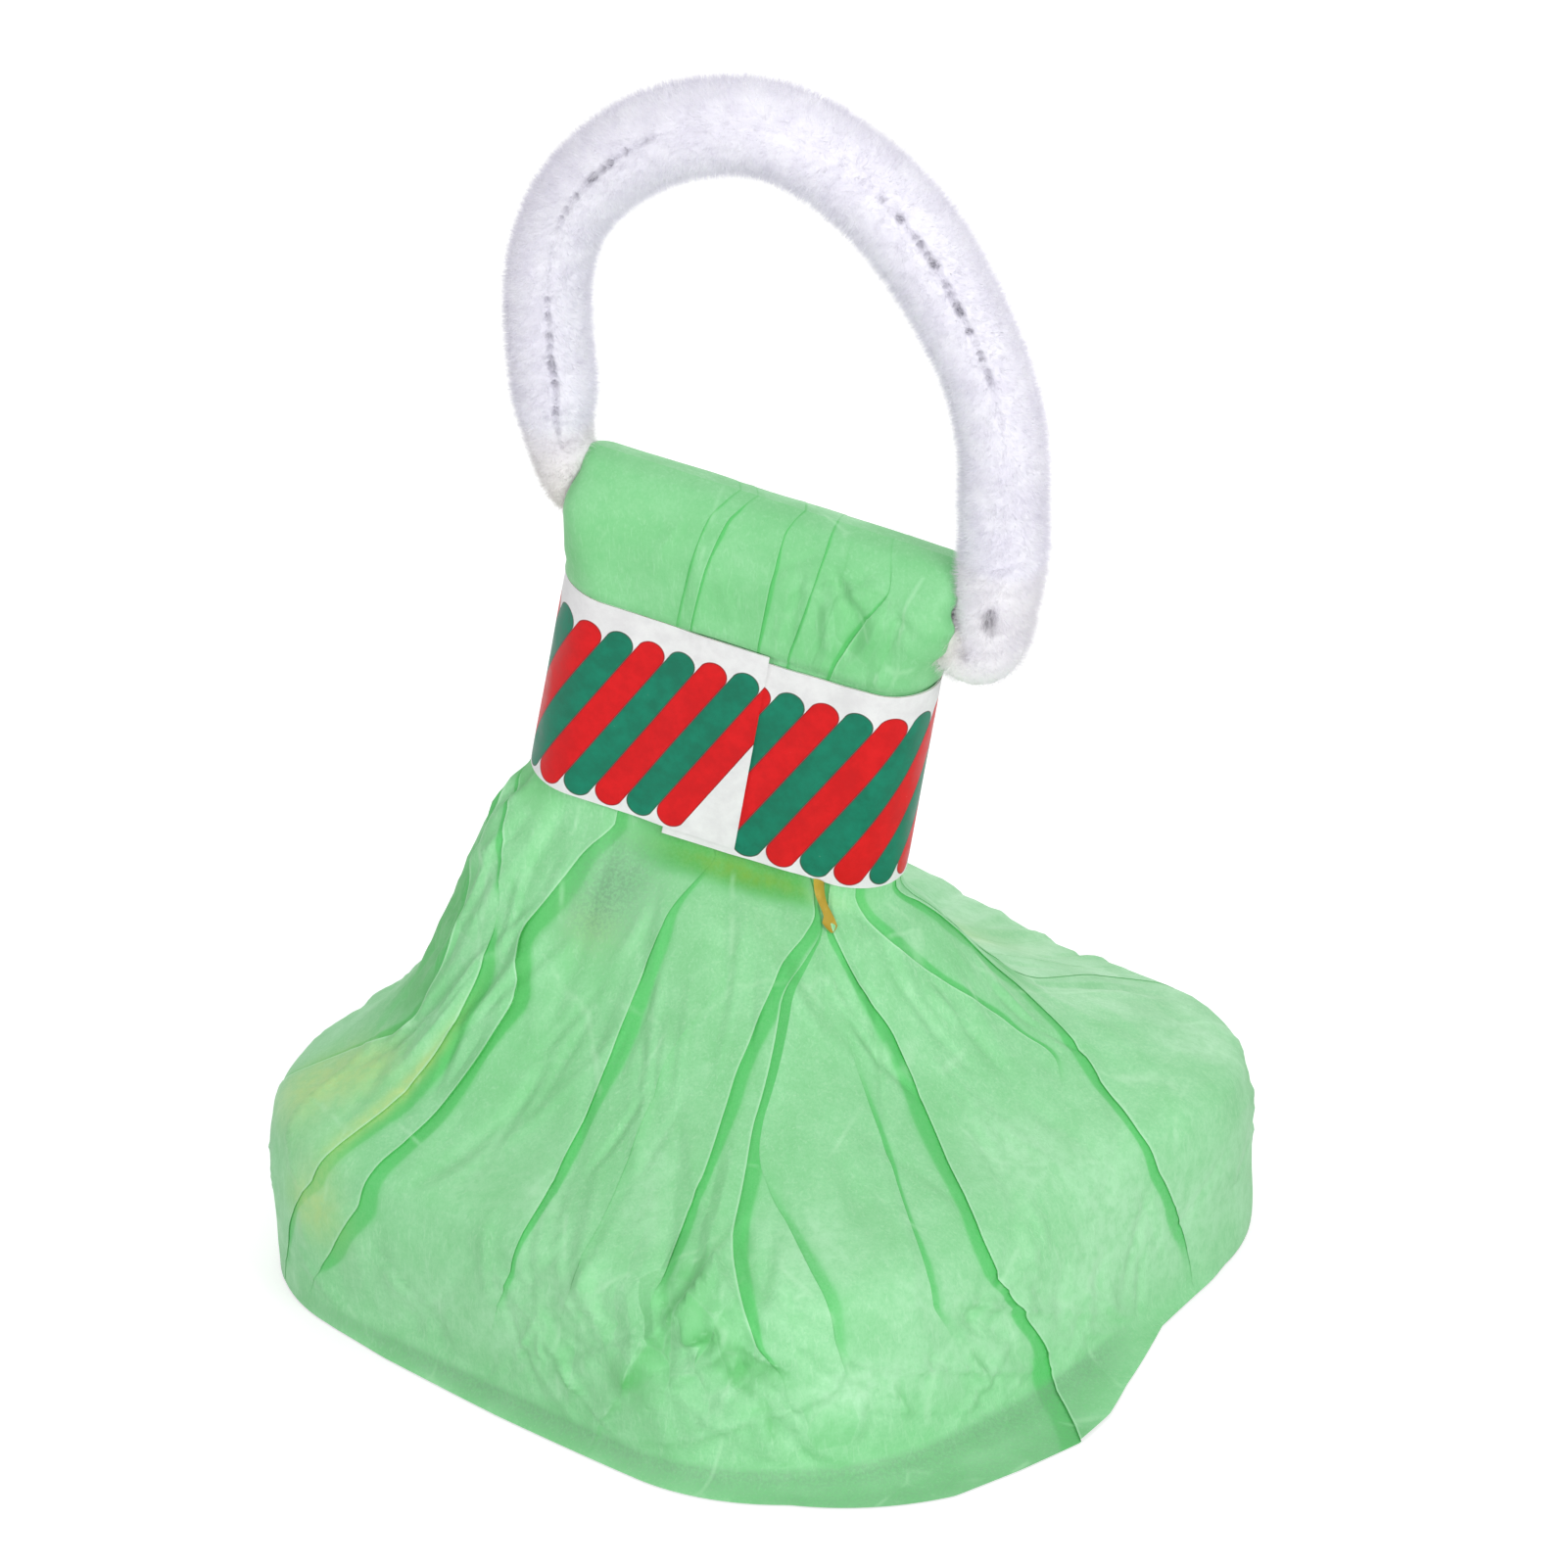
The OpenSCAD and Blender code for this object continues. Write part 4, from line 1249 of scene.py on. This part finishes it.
def make_base(material):
    """Tissue under the coils, swirled and pleated towards its middle."""
    rows, cols, pleats, swirl = 44, 360, 22, 55
    f = np.linspace(0.02, 1, rows)[:, None]
    th = np.linspace(0, 360, cols, endpoint=False)[None, :]
    r = reach(th, COIL_R + 0.25) * f
    turn = np.radians(th + swirl * (1 - f) ** 1.5)
    pleat = np.abs((th / 360 * pleats + 0.25 * np.sin(np.radians(th * 3))) % 1 - 0.5) * 2
    z = 0.08 + 0.26 * pleat * ease(0.0, 0.15, f) * (1 - 0.7 * f) + 0.34 * ease(0.93, 1.0, f)
    points = np.stack(np.broadcast_arrays(r * np.cos(turn), r * np.sin(turn), z), -1)
    faces = grid_faces(rows, cols, closed=True)
    obj = build("tissue_base", points.reshape(-1, 3), faces[:, ::-1], material)
    # Painted shade in the pleats' valleys and towards the middle, and painted grey shade towards the rim as
    # on the hem
    paint(obj, "shade", np.broadcast_to((1 - pleat) ** 3 * (0.3 + 0.5 * (1 - f)), (rows, cols)))
    paint(obj, "grey", 0.35 * np.broadcast_to(ease(0.75, 1, f), (rows, cols)))
    return obj


base = make_base(TISSUE)
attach(base, "streamer_pack")
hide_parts("wrapper_base")


# Floor, light and white surround


FLOOR_HALF = 1500.0
# Lamps as (name, place in metres, size in metres, power in watts), aimed at the height of the bag
LAMPS = [
    ("key", (0.62, -0.42, 0.42), 0.35, 2.45),
    ("fill", (-0.45, -0.55, 0.3), 0.5, 1.15),
    ("front", (0.3, -0.7, 0.1), 0.4, 1.85),
    ("top", (0.0, 0.25, 0.7), 0.5, 1.0),
    ("back", (-0.15, 0.75, 0.2), 0.5, 1.5),
]
LAMP_AIM = [0, 0, 0.03]


def make_floor():
    """White floor that keeps the object's shadow."""
    grey, white = (0.55, 0.55, 0.55, 1), (1, 1, 1, 1)
    sh = Shader("floor", 0.9, Base_Color=grey, Specular_IOR_Level=0.0, Emission_Color=white)
    rays = sh.put("ShaderNodeLightPath", {})
    seen = sh.math("MAXIMUM", rays.outputs["Is Camera Ray"], rays.outputs["Is Glossy Ray"])
    seen = sh.math("MAXIMUM", seen, rays.outputs["Is Transmission Ray"])
    sh.tree.links.new(sh.math("MULTIPLY", seen, 0.62), sh.out.inputs["Emission Strength"])
    corners = ((-1, -1, 0), (1, -1, 0), (1, 1, 0), (-1, 1, 0))
    return build("floor", FLOOR_HALF * np.array(corners), [[0, 1, 2, 3]], sh.material)


def make_surround():
    """World that is white to the camera and half as bright on the object."""
    world = bpy.data.worlds.new("white_surround")
    world.use_nodes = True
    tree = world.node_tree
    back = tree.nodes["Background"]
    back.inputs["Color"].default_value = (1, 1, 1, 1)
    path = tree.nodes.new("ShaderNodeLightPath")
    amount = tree.nodes.new("ShaderNodeMapRange")
    amount.inputs[3].default_value = 0.5
    amount.inputs[4].default_value = 1.0
    tree.links.new(path.outputs["Is Camera Ray"], amount.inputs[0])
    tree.links.new(amount.outputs[0], back.inputs["Strength"])
    SCENE.world = world


def make_lamps():
    """Round lamps about the object."""
    for name, place, size, power in LAMPS:
        data = bpy.data.lights.new(name, "AREA")
        data.shape = "DISK"
        data.size = size
        data.energy = power
        aim = unit(np.array(place) - LAMP_AIM)
        side = unit(np.cross([0, 1, 0.1], aim))
        place_object(name, data, np.stack([side, np.cross(aim, side), aim], 1), place)


# The floor goes down with the pack, so that the pack stands on it at every pose
floor = make_floor()
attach(floor, "streamer_pack")
make_surround()
make_lamps()
SCENE.view_settings.view_transform = "Standard"
